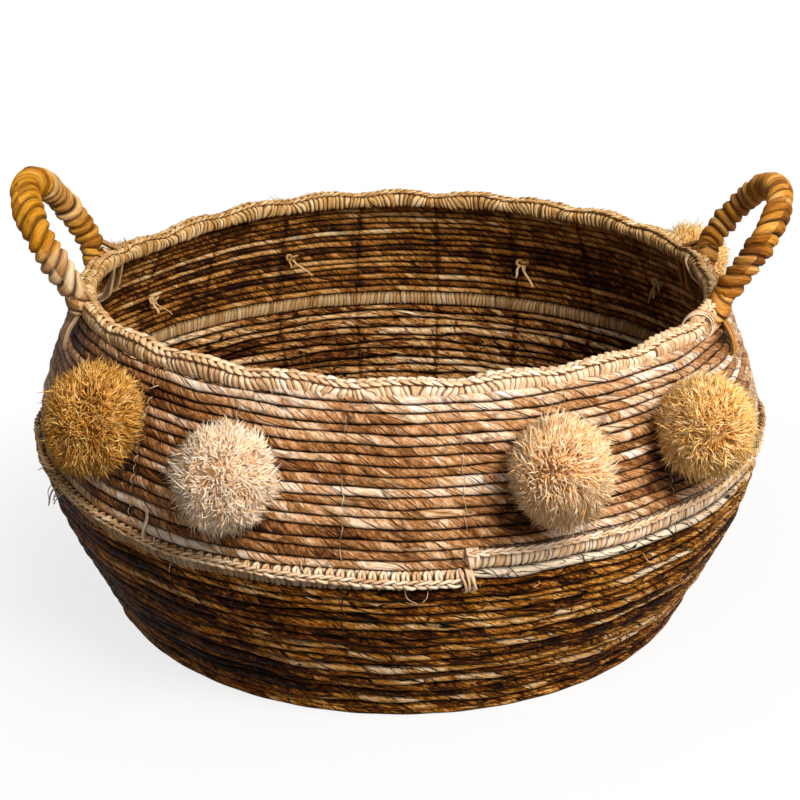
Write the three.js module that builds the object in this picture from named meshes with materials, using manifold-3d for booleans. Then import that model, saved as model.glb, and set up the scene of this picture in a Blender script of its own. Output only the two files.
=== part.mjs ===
// Banana leaf basket: a round coiled basket with a fat belly, a bound rim, a bound belly band,
// eight raffia pompoms and two wound loop handles that flop in and out on the rim.
//
// Units are millimetres. Z is up and the basket stands on Z = 0, its axis on the Z axis.
// The front is -Y. Azimuths are in degrees, from the front towards +X, so +X is at 90.
//
// The wall is one long coil of two leaf ropes laid side by side. A place on the coil is given
// in turns: 0 to 1 is the turn that is bound as the belly band, turns below 0 make the lower
// wall and turns above 1 the upper wall. The coil climbs clockwise, seen from above, and runs
// straight from one line of stitches to the next, so the wall is faceted.
import * as THREE from "three";
import { mergeVertices } from "three/addons/utils/BufferGeometryUtils.js";
import Module from "manifold-3d";

const wasm = await Module();
wasm.setup();

// Outline of the wall, outside
const baseRadius = 178;
const bellyRadius = 216;
const bellyHeight = 100;
const mouthRadius = 187.8;
const rimMiddleHeight = 189.25;
// How far the outline's control points go towards the next size: out, in, up and down
const fullness = {
  baseOut: 0.185, baseUp: 0.25, bellyIn: 0.195, bellyUp: 0.55,
  shoulderUp: 0.33, mouthOut: 0.45, mouthDown: 0.28,
};

// Base disc
const baseThickness = 5.4;
const baseEdgeRound = 2.7;

// Coil
const wallThickness = 5.2;
const meanPairPitch = 10.9;
const pairPitchChange = 0.75;
const pitchBlendTurns = 1.6;
const bandMiddleHeight = 105.7;
const seamAzimuth = 8.6;
const rowGap = 0.45;
const clearance = 0.3;
const stitchLines = 22;
const leastRopeEnd = 1.2;
const mostTurns = 14;
const passageOverrun = 2;

// Belly band
const bandThickness = 7.4;
const bandShoulder = 2.4;
const bandChainRise = 2.6;
const bandChainHalf = { out: 1.6, up: 1.9 };

// Rim
const rimWidth = 10;
const rimRopeHeight = 6.2;
const rimRopeFlat = 6.2;
const rimChainWidth = 7.2;
const rimChainHeight = 3.3;
const rimChainCrown = 4;
const rimChainSeat = 5.8;
const rimDip = 2.3;

// Handles
const handleAzimuth = 85;
const handleLean = { left: 30.5, right: 34.5 };
const footHalfSpan = 44.5;
const footOutset = 5;
const footRadius = 4.5;
const footNeckRadius = 2.2;
const footSink = 1.1;
const handleHeight = 57.5;
const widestHalfSpan = 49;
const widestHeight = 14;
const windingStart = 10;
const coreShoulder = 2;
const windingLoops = 24;
const windingSteps = 6;
const windingRadius = 8.5;
const windingDepth = 2.6;
const windingWidth = 5.8;
const windingCrown = 0.66;

// Lashings, two leaf strips to each foot
const stripWidth = 4.8;
const stripThickness = 3.4;
const stripSpacing = 5.6;
const stripStandOff = 0.5;
const stripSlack = 1.7;
const lashingDrop = 28;

// Pompoms: azimuth and height of the middle of each
const pompomRadius = 27.5;
const pompomStandOff = 22;
const pompomGap = 0.5;
const pompomTuft = 1.3;
const frontLeftOuterHeight = 162.8;
const frontLeftInnerHeight = 153.5;
const frontRightInnerHeight = 157.2;
const frontRightOuterHeight = 159.9;
const backRightOuterHeight = 163;
const backRightInnerHeight = 150;
const backLeftInnerHeight = 154;
const backLeftOuterHeight = 146;
const pompoms = [
  { name: "front_left_outer", azimuth: -44.3, height: frontLeftOuterHeight },
  { name: "front_left_inner", azimuth: -21.9, height: frontLeftInnerHeight },
  { name: "front_right_inner", azimuth: 20, height: frontRightInnerHeight },
  { name: "front_right_outer", azimuth: 43.6, height: frontRightOuterHeight },
  { name: "back_right_outer", azimuth: 119.5, height: backRightOuterHeight },
  { name: "back_right_inner", azimuth: 154, height: backRightInnerHeight },
  { name: "back_left_inner", azimuth: -157, height: backLeftInnerHeight },
  { name: "back_left_outer", azimuth: -124, height: backLeftOuterHeight },
];
const tieRadius = 1.2;
const tieReach = 12;
const knotRadius = 3;

const degrees = Math.PI / 180;

function finish(colour, roughness) {
  return new THREE.MeshStandardMaterial({ color: colour, roughness, metalness: 0 });
}

const leafRope = finish(0x9c6f44, 0.75);
const darkLeafRope = finish(0x6a452a, 0.8);
const paleRaffia = finish(0xdcc09c, 0.8);
const goldenLeaf = finish(0xcf8d3a, 0.6);
const shreddedRaffia = finish(0xd3a878, 0.9);

// Outline: a point at an arc length up the wall, and the turned-out normal there

const belly = new THREE.Vector2(bellyRadius, bellyHeight);
const swell = bellyRadius - baseRadius;
const lowerOutline = new THREE.CubicBezierCurve(
  new THREE.Vector2(baseRadius, 0),
  new THREE.Vector2(baseRadius + fullness.baseOut * swell, fullness.baseUp * bellyHeight),
  new THREE.Vector2(bellyRadius - fullness.bellyIn * swell, fullness.bellyUp * bellyHeight),
  belly,
);
const upperRise = rimMiddleHeight - bellyHeight;
const draw = bellyRadius - mouthRadius;
const upperOutline = new THREE.CubicBezierCurve(
  belly,
  new THREE.Vector2(bellyRadius, bellyHeight + fullness.shoulderUp * upperRise),
  new THREE.Vector2(
    mouthRadius + fullness.mouthOut * draw,
    rimMiddleHeight - fullness.mouthDown * upperRise,
  ),
  new THREE.Vector2(mouthRadius, rimMiddleHeight),
);
const outline = new THREE.CurvePath();
outline.add(lowerOutline);
outline.add(upperOutline);
const outlineLength = outline.getLength();

function wallPoint(arc, outset, azimuth) {
  const share = THREE.MathUtils.clamp(arc / outlineLength, 0, 1);
  const point = outline.getPoint(share);
  const tangent = outline.getTangent(share);
  const beyond = arc - share * outlineLength;
  const radius = point.x + beyond * tangent.x + outset * tangent.y;
  const height = point.y + beyond * tangent.y - outset * tangent.x;
  return around(radius, azimuth, height);
}

// The same on the flat stretch of wall between two lines of stitches
function facetPoint(arc, outset, azimuth) {
  const facet = 360 / stitchLines;
  const fromStitch = THREE.MathUtils.euclideanModulo(azimuth - seamAzimuth, facet);
  const inward = Math.cos(facet / 2 * degrees) / Math.cos((fromStitch - facet / 2) * degrees);
  const point = wallPoint(arc, outset, azimuth);
  return new THREE.Vector3(point.x * inward, point.y * inward, point.z);
}

function around(radius, azimuth, height) {
  const angle = azimuth * degrees;
  return new THREE.Vector3(radius * Math.sin(angle), -radius * Math.cos(angle), height);
}

// Value between low and high at which a rising function reaches the wanted level
function solveRising(rising, wanted, low, high) {
  for (let step = 0; step < 50; step += 1) {
    const middle = (low + high) / 2;
    if (rising(middle) < wanted) low = middle;
    else high = middle;
  }
  return (low + high) / 2;
}

function arcAtHeight(height) {
  const heightAt = (arc) => wallPoint(arc, 0, 0).z;
  return solveRising(heightAt, height, 0, outlineLength);
}

// Coil: the pair of ropes thins out gently from the lower wall to the upper one

const bandMiddleArc = arcAtHeight(bandMiddleHeight);

function coilArc(turns) {
  const along = turns - 0.5;
  const thinning = pitchBlendTurns * Math.log(Math.cosh(along / pitchBlendTurns));
  return bandMiddleArc + meanPairPitch * along - pairPitchChange * thinning;
}

function pairPitch(turns) {
  return meanPairPitch - pairPitchChange * Math.tanh((turns - 0.5) / pitchBlendTurns);
}

function coilAzimuth(turns) {
  return seamAzimuth - 360 * turns;
}

function stations(from, to, steps) {
  const list = [from];
  for (let step = Math.floor(from * steps) + 1; step / steps < to - 1e-6; step += 1) {
    if (step / steps > from + 1e-6) list.push(step / steps);
  }
  list.push(to);
  return list;
}

// Solids: a skin over rings of points, closed by a flat cap at each end or joined into a loop

function loft(rings, looped = false) {
  const sides = rings[0].length;
  const indices = [];
  const bands = looped ? rings.length : rings.length - 1;
  for (let ring = 0; ring < bands; ring += 1) {
    const next = (ring + 1) % rings.length;
    for (let side = 0; side < sides; side += 1) {
      const turn = (side + 1) % sides;
      const a = ring * sides + side;
      const b = ring * sides + turn;
      const c = next * sides + turn;
      const d = next * sides + side;
      indices.push(a, b, c, a, c, d);
    }
  }
  if (!looped) {
    const last = (rings.length - 1) * sides;
    for (let side = 1; side < sides - 1; side += 1) {
      indices.push(0, side + 1, side);
      indices.push(last, last + side, last + side + 1);
    }
  }
  const geometry = new THREE.BufferGeometry();
  const points = rings.flat().flatMap((point) => [point.x, point.y, point.z]);
  geometry.setAttribute("position", new THREE.Float32BufferAttribute(points, 3));
  geometry.setIndex(indices);
  return turnedOut(geometry);
}

function enclosedVolume(geometry) {
  const place = geometry.getAttribute("position");
  const index = geometry.getIndex();
  const corner = [new THREE.Vector3(), new THREE.Vector3(), new THREE.Vector3()];
  let sum = 0;
  for (let face = 0; face < index.count; face += 3) {
    corner.forEach((point, k) => point.fromBufferAttribute(place, index.getX(face + k)));
    sum += corner[0].dot(corner[1].clone().cross(corner[2])) / 6;
  }
  return sum;
}

function turnedOut(geometry) {
  if (enclosedVolume(geometry) < 0) geometry.getIndex().array.reverse();
  return geometry;
}

function welded(geometry) {
  const bare = geometry.clone();
  bare.deleteAttribute("normal");
  bare.deleteAttribute("uv");
  return mergeVertices(bare, 1e-4);
}

function toSolid(geometry) {
  const mesh = welded(geometry);
  return new wasm.Manifold(new wasm.Mesh({
    numProp: 3,
    vertProperties: Float32Array.from(mesh.getAttribute("position").array),
    triVerts: Uint32Array.from(mesh.getIndex().array),
  }));
}

function toGeometry(solid) {
  const mesh = solid.getMesh();
  const geometry = new THREE.BufferGeometry();
  geometry.setAttribute("position", new THREE.BufferAttribute(mesh.vertProperties, 3));
  geometry.setIndex(new THREE.BufferAttribute(mesh.triVerts, 1));
  return geometry;
}

function cut(geometry, tools) {
  let solid = toSolid(geometry);
  tools.forEach((tool) => {
    solid = solid.subtract(toSolid(tool));
  });
  return toGeometry(solid);
}

const basket = new THREE.Group();

function addPiece(parent, name, geometry, material) {
  const flat = geometry.toNonIndexed();
  flat.computeVertexNormals();
  const piece = new THREE.Mesh(flat, material);
  piece.name = name;
  parent.add(piece);
  return piece;
}

// Base: a flat disc with a rope's round edge

const wallFloor = baseThickness + clearance;

function baseDisc() {
  const flatRadius = baseRadius - baseEdgeRound;
  const profile = [new THREE.Vector2(0, 0)];
  const edgeSteps = 2;
  for (let step = 0; step <= edgeSteps; step += 1) {
    const angle = Math.PI * (step / edgeSteps - 0.5);
    const reach = flatRadius + baseEdgeRound * Math.cos(angle);
    profile.push(new THREE.Vector2(reach, baseThickness * (0.5 + 0.5 * Math.sin(angle))));
  }
  profile.push(new THREE.Vector2(0, baseThickness));
  const geometry = new THREE.LatheGeometry(profile, 2 * stitchLines, seamAzimuth * degrees);
  return turnedOut(welded(geometry).rotateX(Math.PI / 2));
}

// Wall ropes: four-sided ropes, edge to edge up the wall with a thin gap between the rows

const upperWallTop = rimMiddleHeight - (rimRopeHeight + clearance + rimChainHeight) / 2 - clearance;

function ropeArc(turns, strand) {
  return coilArc(turns) + strand * pairPitch(turns) / 4;
}

function ropeHalfHeight(turns) {
  return pairPitch(turns) / 4 - rowGap / 2;
}

function coilRope(from, to, strand) {
  const middle = -wallThickness / 2;
  return loft(stations(from, to, stitchLines).map((turns) => {
    const arc = ropeArc(turns, strand);
    const half = ropeHalfHeight(turns);
    const azimuth = coilAzimuth(turns);
    return [
      wallPoint(arc, 0, azimuth),
      wallPoint(arc + half, middle, azimuth),
      wallPoint(arc, -wallThickness, azimuth),
      wallPoint(arc - half, middle, azimuth),
    ];
  }));
}

function ontoGrid(turns) {
  return Math.round(turns * stitchLines) / stitchLines;
}

function lowestTurn(strand) {
  const topAt = (turns) => wallPoint(ropeArc(turns, strand) + ropeHalfHeight(turns), 0, 0).z;
  return ontoGrid(solveRising(topAt, wallFloor + leastRopeEnd, -mostTurns, 0));
}

function highestTurn(strand) {
  const footAt = (turns) => wallPoint(ropeArc(turns, strand) - ropeHalfHeight(turns), 0, 0).z;
  return ontoGrid(solveRising(footAt, upperWallTop - leastRopeEnd, 1, mostTurns));
}

function slab(bottom, top) {
  const side = 3 * bellyRadius;
  return new THREE.BoxGeometry(side, side, top - bottom).translate(0, 0, (bottom + top) / 2);
}

const seamGapTurns = clearance / (2 * Math.PI * bellyRadius);

function lowerRope(strand) {
  const rope = coilRope(lowestTurn(strand), -seamGapTurns, strand);
  return cut(rope, [slab(-bellyHeight, wallFloor)]);
}

function upperRope(strand, passages) {
  const rope = coilRope(1 + seamGapTurns, highestTurn(strand), strand);
  return cut(rope, [slab(upperWallTop, upperWallTop + bellyHeight), ...passages]);
}

// Belly band: one turn of the pair, bound with raffia, and the chain stitch on its face

function bandRope() {
  const middle = -wallThickness / 2;
  return loft(stations(0, 1, stitchLines).map((turns) => {
    const arc = coilArc(turns);
    const half = pairPitch(turns) / 2 - rowGap / 2;
    const azimuth = coilAzimuth(turns);
    const corner = (out, up) => wallPoint(arc + up * half, middle + out, azimuth);
    return [
      corner(bandThickness / 2, 0),
      corner(bandShoulder, 1),
      corner(-bandShoulder, 1),
      corner(-bandThickness / 2, 0),
      corner(-bandShoulder, -1),
      corner(bandShoulder, -1),
    ];
  }));
}

function bandChain() {
  const face = (bandThickness - wallThickness) / 2;
  const middle = face + bandChainHalf.out - clearance;
  return loft(stations(0, 1, stitchLines).map((turns) => {
    const arc = coilArc(turns) + bandChainRise;
    const azimuth = coilAzimuth(turns);
    return [
      wallPoint(arc, middle + bandChainHalf.out, azimuth),
      wallPoint(arc + bandChainHalf.up, middle, azimuth),
      wallPoint(arc, middle - bandChainHalf.out, azimuth),
      wallPoint(arc - bandChainHalf.up, middle, azimuth),
    ];
  }));
}

// Rim: a bound rope, level below and scalloped above, with a chain stitch lying on it

const rimMiddleRadius = mouthRadius - rimWidth / 2;
const rimBottom = upperWallTop + clearance;
const rimRopeTop = rimBottom + rimRopeHeight;
const rimTop = rimRopeTop + clearance + rimChainHeight;

function rimRings(section) {
  const count = 2 * stitchLines;
  return Array.from({ length: count }, (_, step) => {
    const azimuth = seamAzimuth + step * 360 / count;
    const dip = step % 2 === 0 ? rimDip : 0;
    return section.map(([out, up, follows]) => (
      around(rimMiddleRadius + out, azimuth, up - follows * dip)
    ));
  });
}

function rimRope() {
  const half = rimWidth / 2;
  const flat = rimRopeFlat / 2;
  const middle = rimBottom + rimRopeHeight / 2;
  return loft(rimRings([
    [half, middle, 0.5],
    [flat, rimRopeTop, 1],
    [-flat, rimRopeTop, 1],
    [-half, middle, 0.5],
    [-flat, rimBottom, 0],
    [flat, rimBottom, 0],
  ]), true);
}

function rimChain() {
  const half = rimChainWidth / 2;
  const seat = rimRopeTop + clearance;
  const widest = seat + 0.4 * rimChainHeight;
  return loft(rimRings([
    [half, widest, 1],
    [rimChainCrown / 2, rimTop, 1],
    [-rimChainCrown / 2, rimTop, 1],
    [-half, widest, 1],
    [-rimChainSeat / 2, seat, 1],
    [rimChainSeat / 2, seat, 1],
  ]), true);
}

// Handles: a leaf core bent into an arch, with a ball at each foot, wound with a leaf strip

const footCircleRadius = rimMiddleRadius + footOutset;
const hingeRadius = Math.sqrt(footCircleRadius ** 2 - footHalfSpan ** 2);
const hingeHeight = rimTop + footRadius - footSink;

// Arch in its own plane: x along the hinge line, y up the leaning plane
const arch = new THREE.CurvePath();
const crownPull = 0.62;
const shoulderRise = widestHeight + crownPull * (handleHeight - widestHeight);
const legBulge = new THREE.Vector2(widestHalfSpan, 0.4 * widestHeight);
const legEnd = new THREE.Vector2(widestHalfSpan, widestHeight);
const shoulder = new THREE.Vector2(widestHalfSpan, shoulderRise);
const crown = new THREE.Vector2(crownPull * widestHalfSpan, handleHeight);
const mirrored = (point) => new THREE.Vector2(-point.x, point.y);
const rightFoot = new THREE.Vector2(footHalfSpan, 0);
const top = new THREE.Vector2(0, handleHeight);
arch.add(new THREE.QuadraticBezierCurve(rightFoot, legBulge, legEnd));
arch.add(new THREE.CubicBezierCurve(legEnd, shoulder, crown, top));
arch.add(new THREE.CubicBezierCurve(top, mirrored(crown), mirrored(shoulder), mirrored(legEnd)));
arch.add(new THREE.QuadraticBezierCurve(mirrored(legEnd), mirrored(legBulge), mirrored(rightFoot)));
const archLength = arch.getLength();

// Point beside the arch: along it by arc length, out from it by radius, turned about it
function archPoint(along, radius, turn) {
  const share = THREE.MathUtils.clamp(along / archLength, 0, 1);
  const point = arch.getPoint(share);
  const tangent = arch.getTangent(share);
  const beyond = along - share * archLength;
  const out = radius * Math.cos(turn);
  return new THREE.Vector3(
    point.x + beyond * tangent.x + out * tangent.y,
    point.y + beyond * tangent.y - out * tangent.x,
    radius * Math.sin(turn),
  );
}

function ringAbout(along, radius, faces) {
  return Array.from({ length: faces }, (_, face) => (
    archPoint(along, radius, (face / faces) * 2 * Math.PI)
  ));
}

// The core, from ball to ball: each pair is a place along the arch and the radius there
function handleCore() {
  const faces = 8;
  const narrowest = (windingRadius - windingDepth) * Math.cos(Math.PI / windingSteps);
  const coreRadius = narrowest - clearance;
  const ball = [-0.92, -0.5, 0, 0.5].map((share) => (
    [share * footRadius, footRadius * Math.sqrt(1 - share ** 2)]
  ));
  const foot = [...ball, [footRadius, footNeckRadius], [windingStart - coreShoulder, coreRadius]];
  const archSteps = 18;
  const legs = Array.from({ length: archSteps - 1 }, (_, step) => {
    const share = (step + 1) / archSteps;
    return [windingStart + share * (archLength - 2 * windingStart), coreRadius];
  });
  const farFoot = foot.map(([along, radius]) => [archLength - along, radius]).reverse();
  return loft([...foot, ...legs, ...farFoot].map(([along, radius]) => (
    ringAbout(along, radius, faces)
  )));
}

const windingPitch = (archLength - 2 * windingStart - windingWidth) / windingLoops;

function windingRing(loops) {
  const along = windingStart + windingWidth / 2 + loops * windingPitch;
  const turn = loops * 2 * Math.PI;
  const inner = windingRadius - windingDepth;
  const half = windingWidth / 2;
  return [
    archPoint(along - half, inner, turn),
    archPoint(along + half, inner, turn),
    archPoint(along + windingCrown * half, windingRadius, turn),
    archPoint(along - windingCrown * half, windingRadius, turn),
  ];
}

function handleWinding() {
  const count = windingLoops * windingSteps;
  return loft(Array.from({ length: count + 1 }, (_, step) => windingRing(step / windingSteps)));
}

// Least gap from one loop of the winding to the next, measured on points of facing edges
function leastWindingGap() {
  const perEdge = 4;
  const edges = (step) => {
    const here = windingRing(step / windingSteps);
    const next = windingRing((step + 1) / windingSteps);
    return here.flatMap((point, k) => (
      Array.from({ length: perEdge }, (_, share) => point.clone().lerp(next[k], share / perEdge))
    ));
  };
  let least = Infinity;
  const count = windingLoops * windingSteps;
  for (let step = 0; step + windingSteps < count; step += 1) {
    const near = edges(step);
    for (const across of [windingSteps - 1, windingSteps, windingSteps + 1]) {
      if (step + across >= count) continue;
      const far = edges(step + across);
      near.forEach((a) => far.forEach((b) => {
        least = Math.min(least, a.distanceTo(b));
      }));
    }
  }
  return least;
}

const sides = [
  { name: "left", sign: -1, lean: handleLean.left },
  { name: "right", sign: 1, lean: handleLean.right },
];

// Places the arch's plane on the rim: the hinge line on the feet, the crown leaning out
function handleGroup(side) {
  const azimuth = side.sign * handleAzimuth;
  const outward = around(1, azimuth, 0);
  const along = new THREE.Vector3(-outward.y, outward.x, 0);
  const lean = side.lean * degrees;
  const up = outward.clone().multiplyScalar(Math.sin(lean));
  up.add(new THREE.Vector3(0, 0, Math.cos(lean)));
  const face = along.clone().cross(up);
  const group = new THREE.Group();
  group.quaternion.setFromRotationMatrix(new THREE.Matrix4().makeBasis(along, up, face));
  group.position.copy(around(hingeRadius, azimuth, hingeHeight));
  return group;
}

// Lashings: leaf strips from one side of a foot, down and through the wall, and up inside

const footSwing = Math.asin(footHalfSpan / footCircleRadius) / degrees;

// The passage between the two rows nearest a height, as an arc length up the wall
function passageArc(azimuth, height) {
  const wanted = arcAtHeight(height);
  const start = (seamAzimuth - azimuth) / 360;
  let best = Infinity;
  for (let turns = start - Math.floor(start); turns < mostTurns; turns += 1) {
    for (const arc of [coilArc(turns), (ropeArc(turns, 1) + ropeArc(turns + 1, -1)) / 2]) {
      if (Math.abs(arc - wanted) < Math.abs(best - wanted)) best = arc;
    }
  }
  return best;
}

// Middle line of a strip, as radius and height: from outside the foot to inside it
function lashingPath(azimuth) {
  const through = passageArc(azimuth, rimTop - lashingDrop);
  const gap = stripThickness / 2 + stripStandOff;
  const bend = stripThickness;
  const place = (arc, outset) => {
    const point = facetPoint(arc, outset, azimuth);
    return new THREE.Vector2(Math.hypot(point.x, point.y), point.z);
  };
  const beside = (outset, height) => new THREE.Vector2(rimMiddleRadius + outset, height);
  const rimSide = rimWidth / 2 + gap;
  const low = rimBottom + stripSlack;
  const high = rimTop - stripSlack;
  const onRim = rimTop + clearance + stripThickness / 2;
  const outside = [
    beside(footOutset + footRadius / 3, hingeHeight - footRadius / 2),
    beside(rimSide + stripSlack, high),
    beside(rimSide + stripSlack / 2, low),
    place(through + 3 * bend, gap + stripSlack),
    place(through + bend, gap + stripSlack / 2),
    place(through + bend / 8, gap - stripSlack / 2),
  ];
  const inside = [
    place(through + bend / 8, stripSlack / 2 - wallThickness - gap),
    place(through + bend, -wallThickness - gap - stripSlack / 2),
    place(through + 3 * bend, -wallThickness - gap - stripSlack / 2),
    beside(-rimSide - stripSlack, low),
    beside(-rimSide - stripSlack / 3, high),
    beside(footOutset - 1.7 * footRadius, onRim),
    beside(footOutset - 0.75 * footRadius, onRim),
  ];
  const passage = [place(through, 0), place(through, -wallThickness)];
  return new THREE.SplineCurve([...outside, ...passage, ...inside]);
}

function lashing(azimuth, sideways) {
  const path = lashingPath(azimuth);
  const steps = 20;
  const outward = around(1, azimuth, 0);
  const along = new THREE.Vector3(-outward.y, outward.x, 0);
  const halfThick = stripThickness / 2;
  const halfWide = stripWidth / 2;
  return loft(Array.from({ length: steps + 1 }, (_, step) => {
    const share = step / steps;
    const point = path.getPoint(share);
    const tangent = path.getTangent(share);
    const corner = (thick, wide) => {
      const spot = around(point.x + thick * tangent.y, azimuth, point.y - thick * tangent.x);
      return spot.addScaledVector(along, sideways + wide);
    };
    return [
      corner(halfThick, -halfWide),
      corner(halfThick, halfWide),
      corner(-halfThick, halfWide),
      corner(-halfThick, -halfWide),
    ];
  }));
}

// Room through the wall at a passage, square to the wall
function passageRoom(azimuth, arc, sideways, halfWide, halfHigh) {
  const along = around(1, azimuth + 90, 0);
  const ends = [passageOverrun, -wallThickness - passageOverrun];
  return loft(ends.map((outset) => (
    [[-1, -1], [1, -1], [1, 1], [-1, 1]].map(([wide, high]) => {
      const spot = facetPoint(arc + high * halfHigh, outset, azimuth);
      return spot.addScaledVector(along, sideways + wide * halfWide);
    })
  )));
}

function lashingRoom(azimuth, sideways) {
  const arc = passageArc(azimuth, rimTop - lashingDrop);
  const halfWide = stripWidth / 2 + clearance;
  return passageRoom(azimuth, arc, sideways, halfWide, stripThickness / 2 + clearance);
}

function footBallRoom(azimuth) {
  const room = new THREE.SphereGeometry(footRadius + clearance, 16, 10);
  return room.translate(...around(footCircleRadius, azimuth, hingeHeight).toArray());
}

// Pompoms and the ties that hold them, knotted inside the wall

function pompomSeat(pompom) {
  const normalAt = (arc) => wallPoint(arc, 1, 0).sub(wallPoint(arc, 0, 0)).z;
  const middleHeight = (arc) => wallPoint(arc, 0, 0).z + pompomStandOff * normalAt(arc);
  const seat = solveRising(middleHeight, pompom.height, 0, outlineLength);
  const middle = facetPoint(seat, pompomStandOff, pompom.azimuth);
  return { middle, arc: passageArc(pompom.azimuth, wallPoint(seat, 0, 0).z) };
}

function pompomBall(pompom, wallEnvelope) {
  const { middle } = pompomSeat(pompom);
  const ball = welded(new THREE.IcosahedronGeometry(pompomRadius, 2));
  const place = ball.getAttribute("position");
  for (let k = 0; k < place.count; k += 1) {
    const tuft = k % 3 === 0 ? -pompomTuft : pompomTuft / 2;
    const point = new THREE.Vector3().fromBufferAttribute(place, k);
    point.setLength(pompomRadius + tuft);
    place.setXYZ(k, point.x, point.y, point.z);
  }
  ball.translate(middle.x, middle.y, middle.z);
  return cut(ball, [wallEnvelope, pompomTie(pompom, clearance)]);
}

function pompomTie(pompom, swollen = 0) {
  const { arc } = pompomSeat(pompom);
  const knotMiddle = -wallThickness - knotRadius;
  const tail = knotMiddle - knotRadius;
  const stops = [
    [tieReach, tieRadius],
    [knotMiddle + 0.9 * knotRadius, tieRadius],
    [knotMiddle + 0.4 * knotRadius, knotRadius],
    [knotMiddle - 0.5 * knotRadius, 0.8 * knotRadius],
    [tail, tieRadius],
  ];
  const start = facetPoint(arc, 0, pompom.azimuth);
  const outward = facetPoint(arc, 1, pompom.azimuth).sub(start).normalize();
  const across = around(1, pompom.azimuth + 90, 0);
  const up = outward.clone().cross(across);
  const corners = 6;
  return loft(stops.map(([outset, radius]) => (
    Array.from({ length: corners }, (_, corner) => {
      const angle = (corner / corners) * 2 * Math.PI;
      const spot = start.clone().addScaledVector(outward, outset);
      spot.addScaledVector(across, (radius + swollen) * Math.cos(angle));
      return spot.addScaledVector(up, (radius + swollen) * Math.sin(angle));
    })
  )));
}

function tieRoom(pompom) {
  const half = tieRadius + clearance;
  return passageRoom(pompom.azimuth, pompomSeat(pompom).arc, 0, half, half);
}

// The wall's outside, grown by the pompoms' gap, as one solid that they are cut flat against
function wallEnvelopeSolid() {
  const profile = [new THREE.Vector2(0, bellyHeight / 2)];
  const rows = 10;
  for (let row = 0; row <= rows; row += 1) {
    const arc = THREE.MathUtils.lerp(arcAtHeight(bellyHeight), outlineLength, row / rows);
    const point = wallPoint(arc, pompomGap, 0);
    if (row === 0) profile.push(new THREE.Vector2(-point.y, bellyHeight / 2));
    profile.push(new THREE.Vector2(-point.y, point.z));
  }
  profile.push(new THREE.Vector2(0, profile[profile.length - 1].y));
  const geometry = new THREE.LatheGeometry(profile, stitchLines, seamAzimuth * degrees);
  return turnedOut(welded(geometry).rotateX(Math.PI / 2));
}

// Assembly

addPiece(basket, "base_coil", baseDisc(), darkLeafRope);
addPiece(basket, "lower_wall_rope_a", lowerRope(-1), darkLeafRope);
addPiece(basket, "lower_wall_rope_b", lowerRope(1), darkLeafRope);
addPiece(basket, "belly_band_rope", bandRope(), paleRaffia);
addPiece(basket, "belly_band_chain_stitch", bandChain(), paleRaffia);

const feet = sides.flatMap((side) => [
  { name: `${side.name}_front`, azimuth: side.sign * (handleAzimuth - footSwing) },
  { name: `${side.name}_back`, azimuth: side.sign * (handleAzimuth + footSwing) },
]);
const strips = feet.flatMap((foot) => [-1, 1].map((sign) => ({
  name: `lashing_${foot.name}_${sign < 0 ? "a" : "b"}`,
  azimuth: foot.azimuth,
  sideways: sign * stripSpacing / 2,
})));
const stripRooms = strips.map((strip) => lashingRoom(strip.azimuth, strip.sideways));
const passages = [...stripRooms, ...pompoms.map(tieRoom)];

addPiece(basket, "upper_wall_rope_a", upperRope(-1, passages), leafRope);
addPiece(basket, "upper_wall_rope_b", upperRope(1, passages), leafRope);
addPiece(basket, "rim_bound_rope", rimRope(), paleRaffia);
addPiece(basket, "rim_chain_stitch", rimChain(), paleRaffia);

strips.forEach((strip) => {
  const geometry = lashing(strip.azimuth, strip.sideways);
  addPiece(basket, strip.name, cut(geometry, [footBallRoom(strip.azimuth)]), goldenLeaf);
});

const wallEnvelope = wallEnvelopeSolid();
pompoms.forEach((pompom) => {
  const ball = pompomBall(pompom, wallEnvelope);
  addPiece(basket, `pompom_${pompom.name}`, ball, shreddedRaffia);
  addPiece(basket, `pompom_tie_${pompom.name}`, pompomTie(pompom), paleRaffia);
});

sides.forEach((side) => {
  const group = handleGroup(side);
  addPiece(group, `handle_core_${side.name}`, handleCore(), darkLeafRope);
  addPiece(group, `handle_winding_${side.name}`, handleWinding(), goldenLeaf);
  basket.add(group);
});

console.log(`least gap between loops of a handle winding: ${leastWindingGap().toFixed(2)} mm`);

export default basket;
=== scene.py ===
"""Banana leaf basket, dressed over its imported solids.

Metres, Z up, the basket's axis on Z, its front towards -Y. Azimuths are in degrees from the
front towards +X. Every shape is a grid of points worked out from the coil, the rim or the
handles' arches, so that each piece lies where the solids put it.
"""
import math

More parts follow.
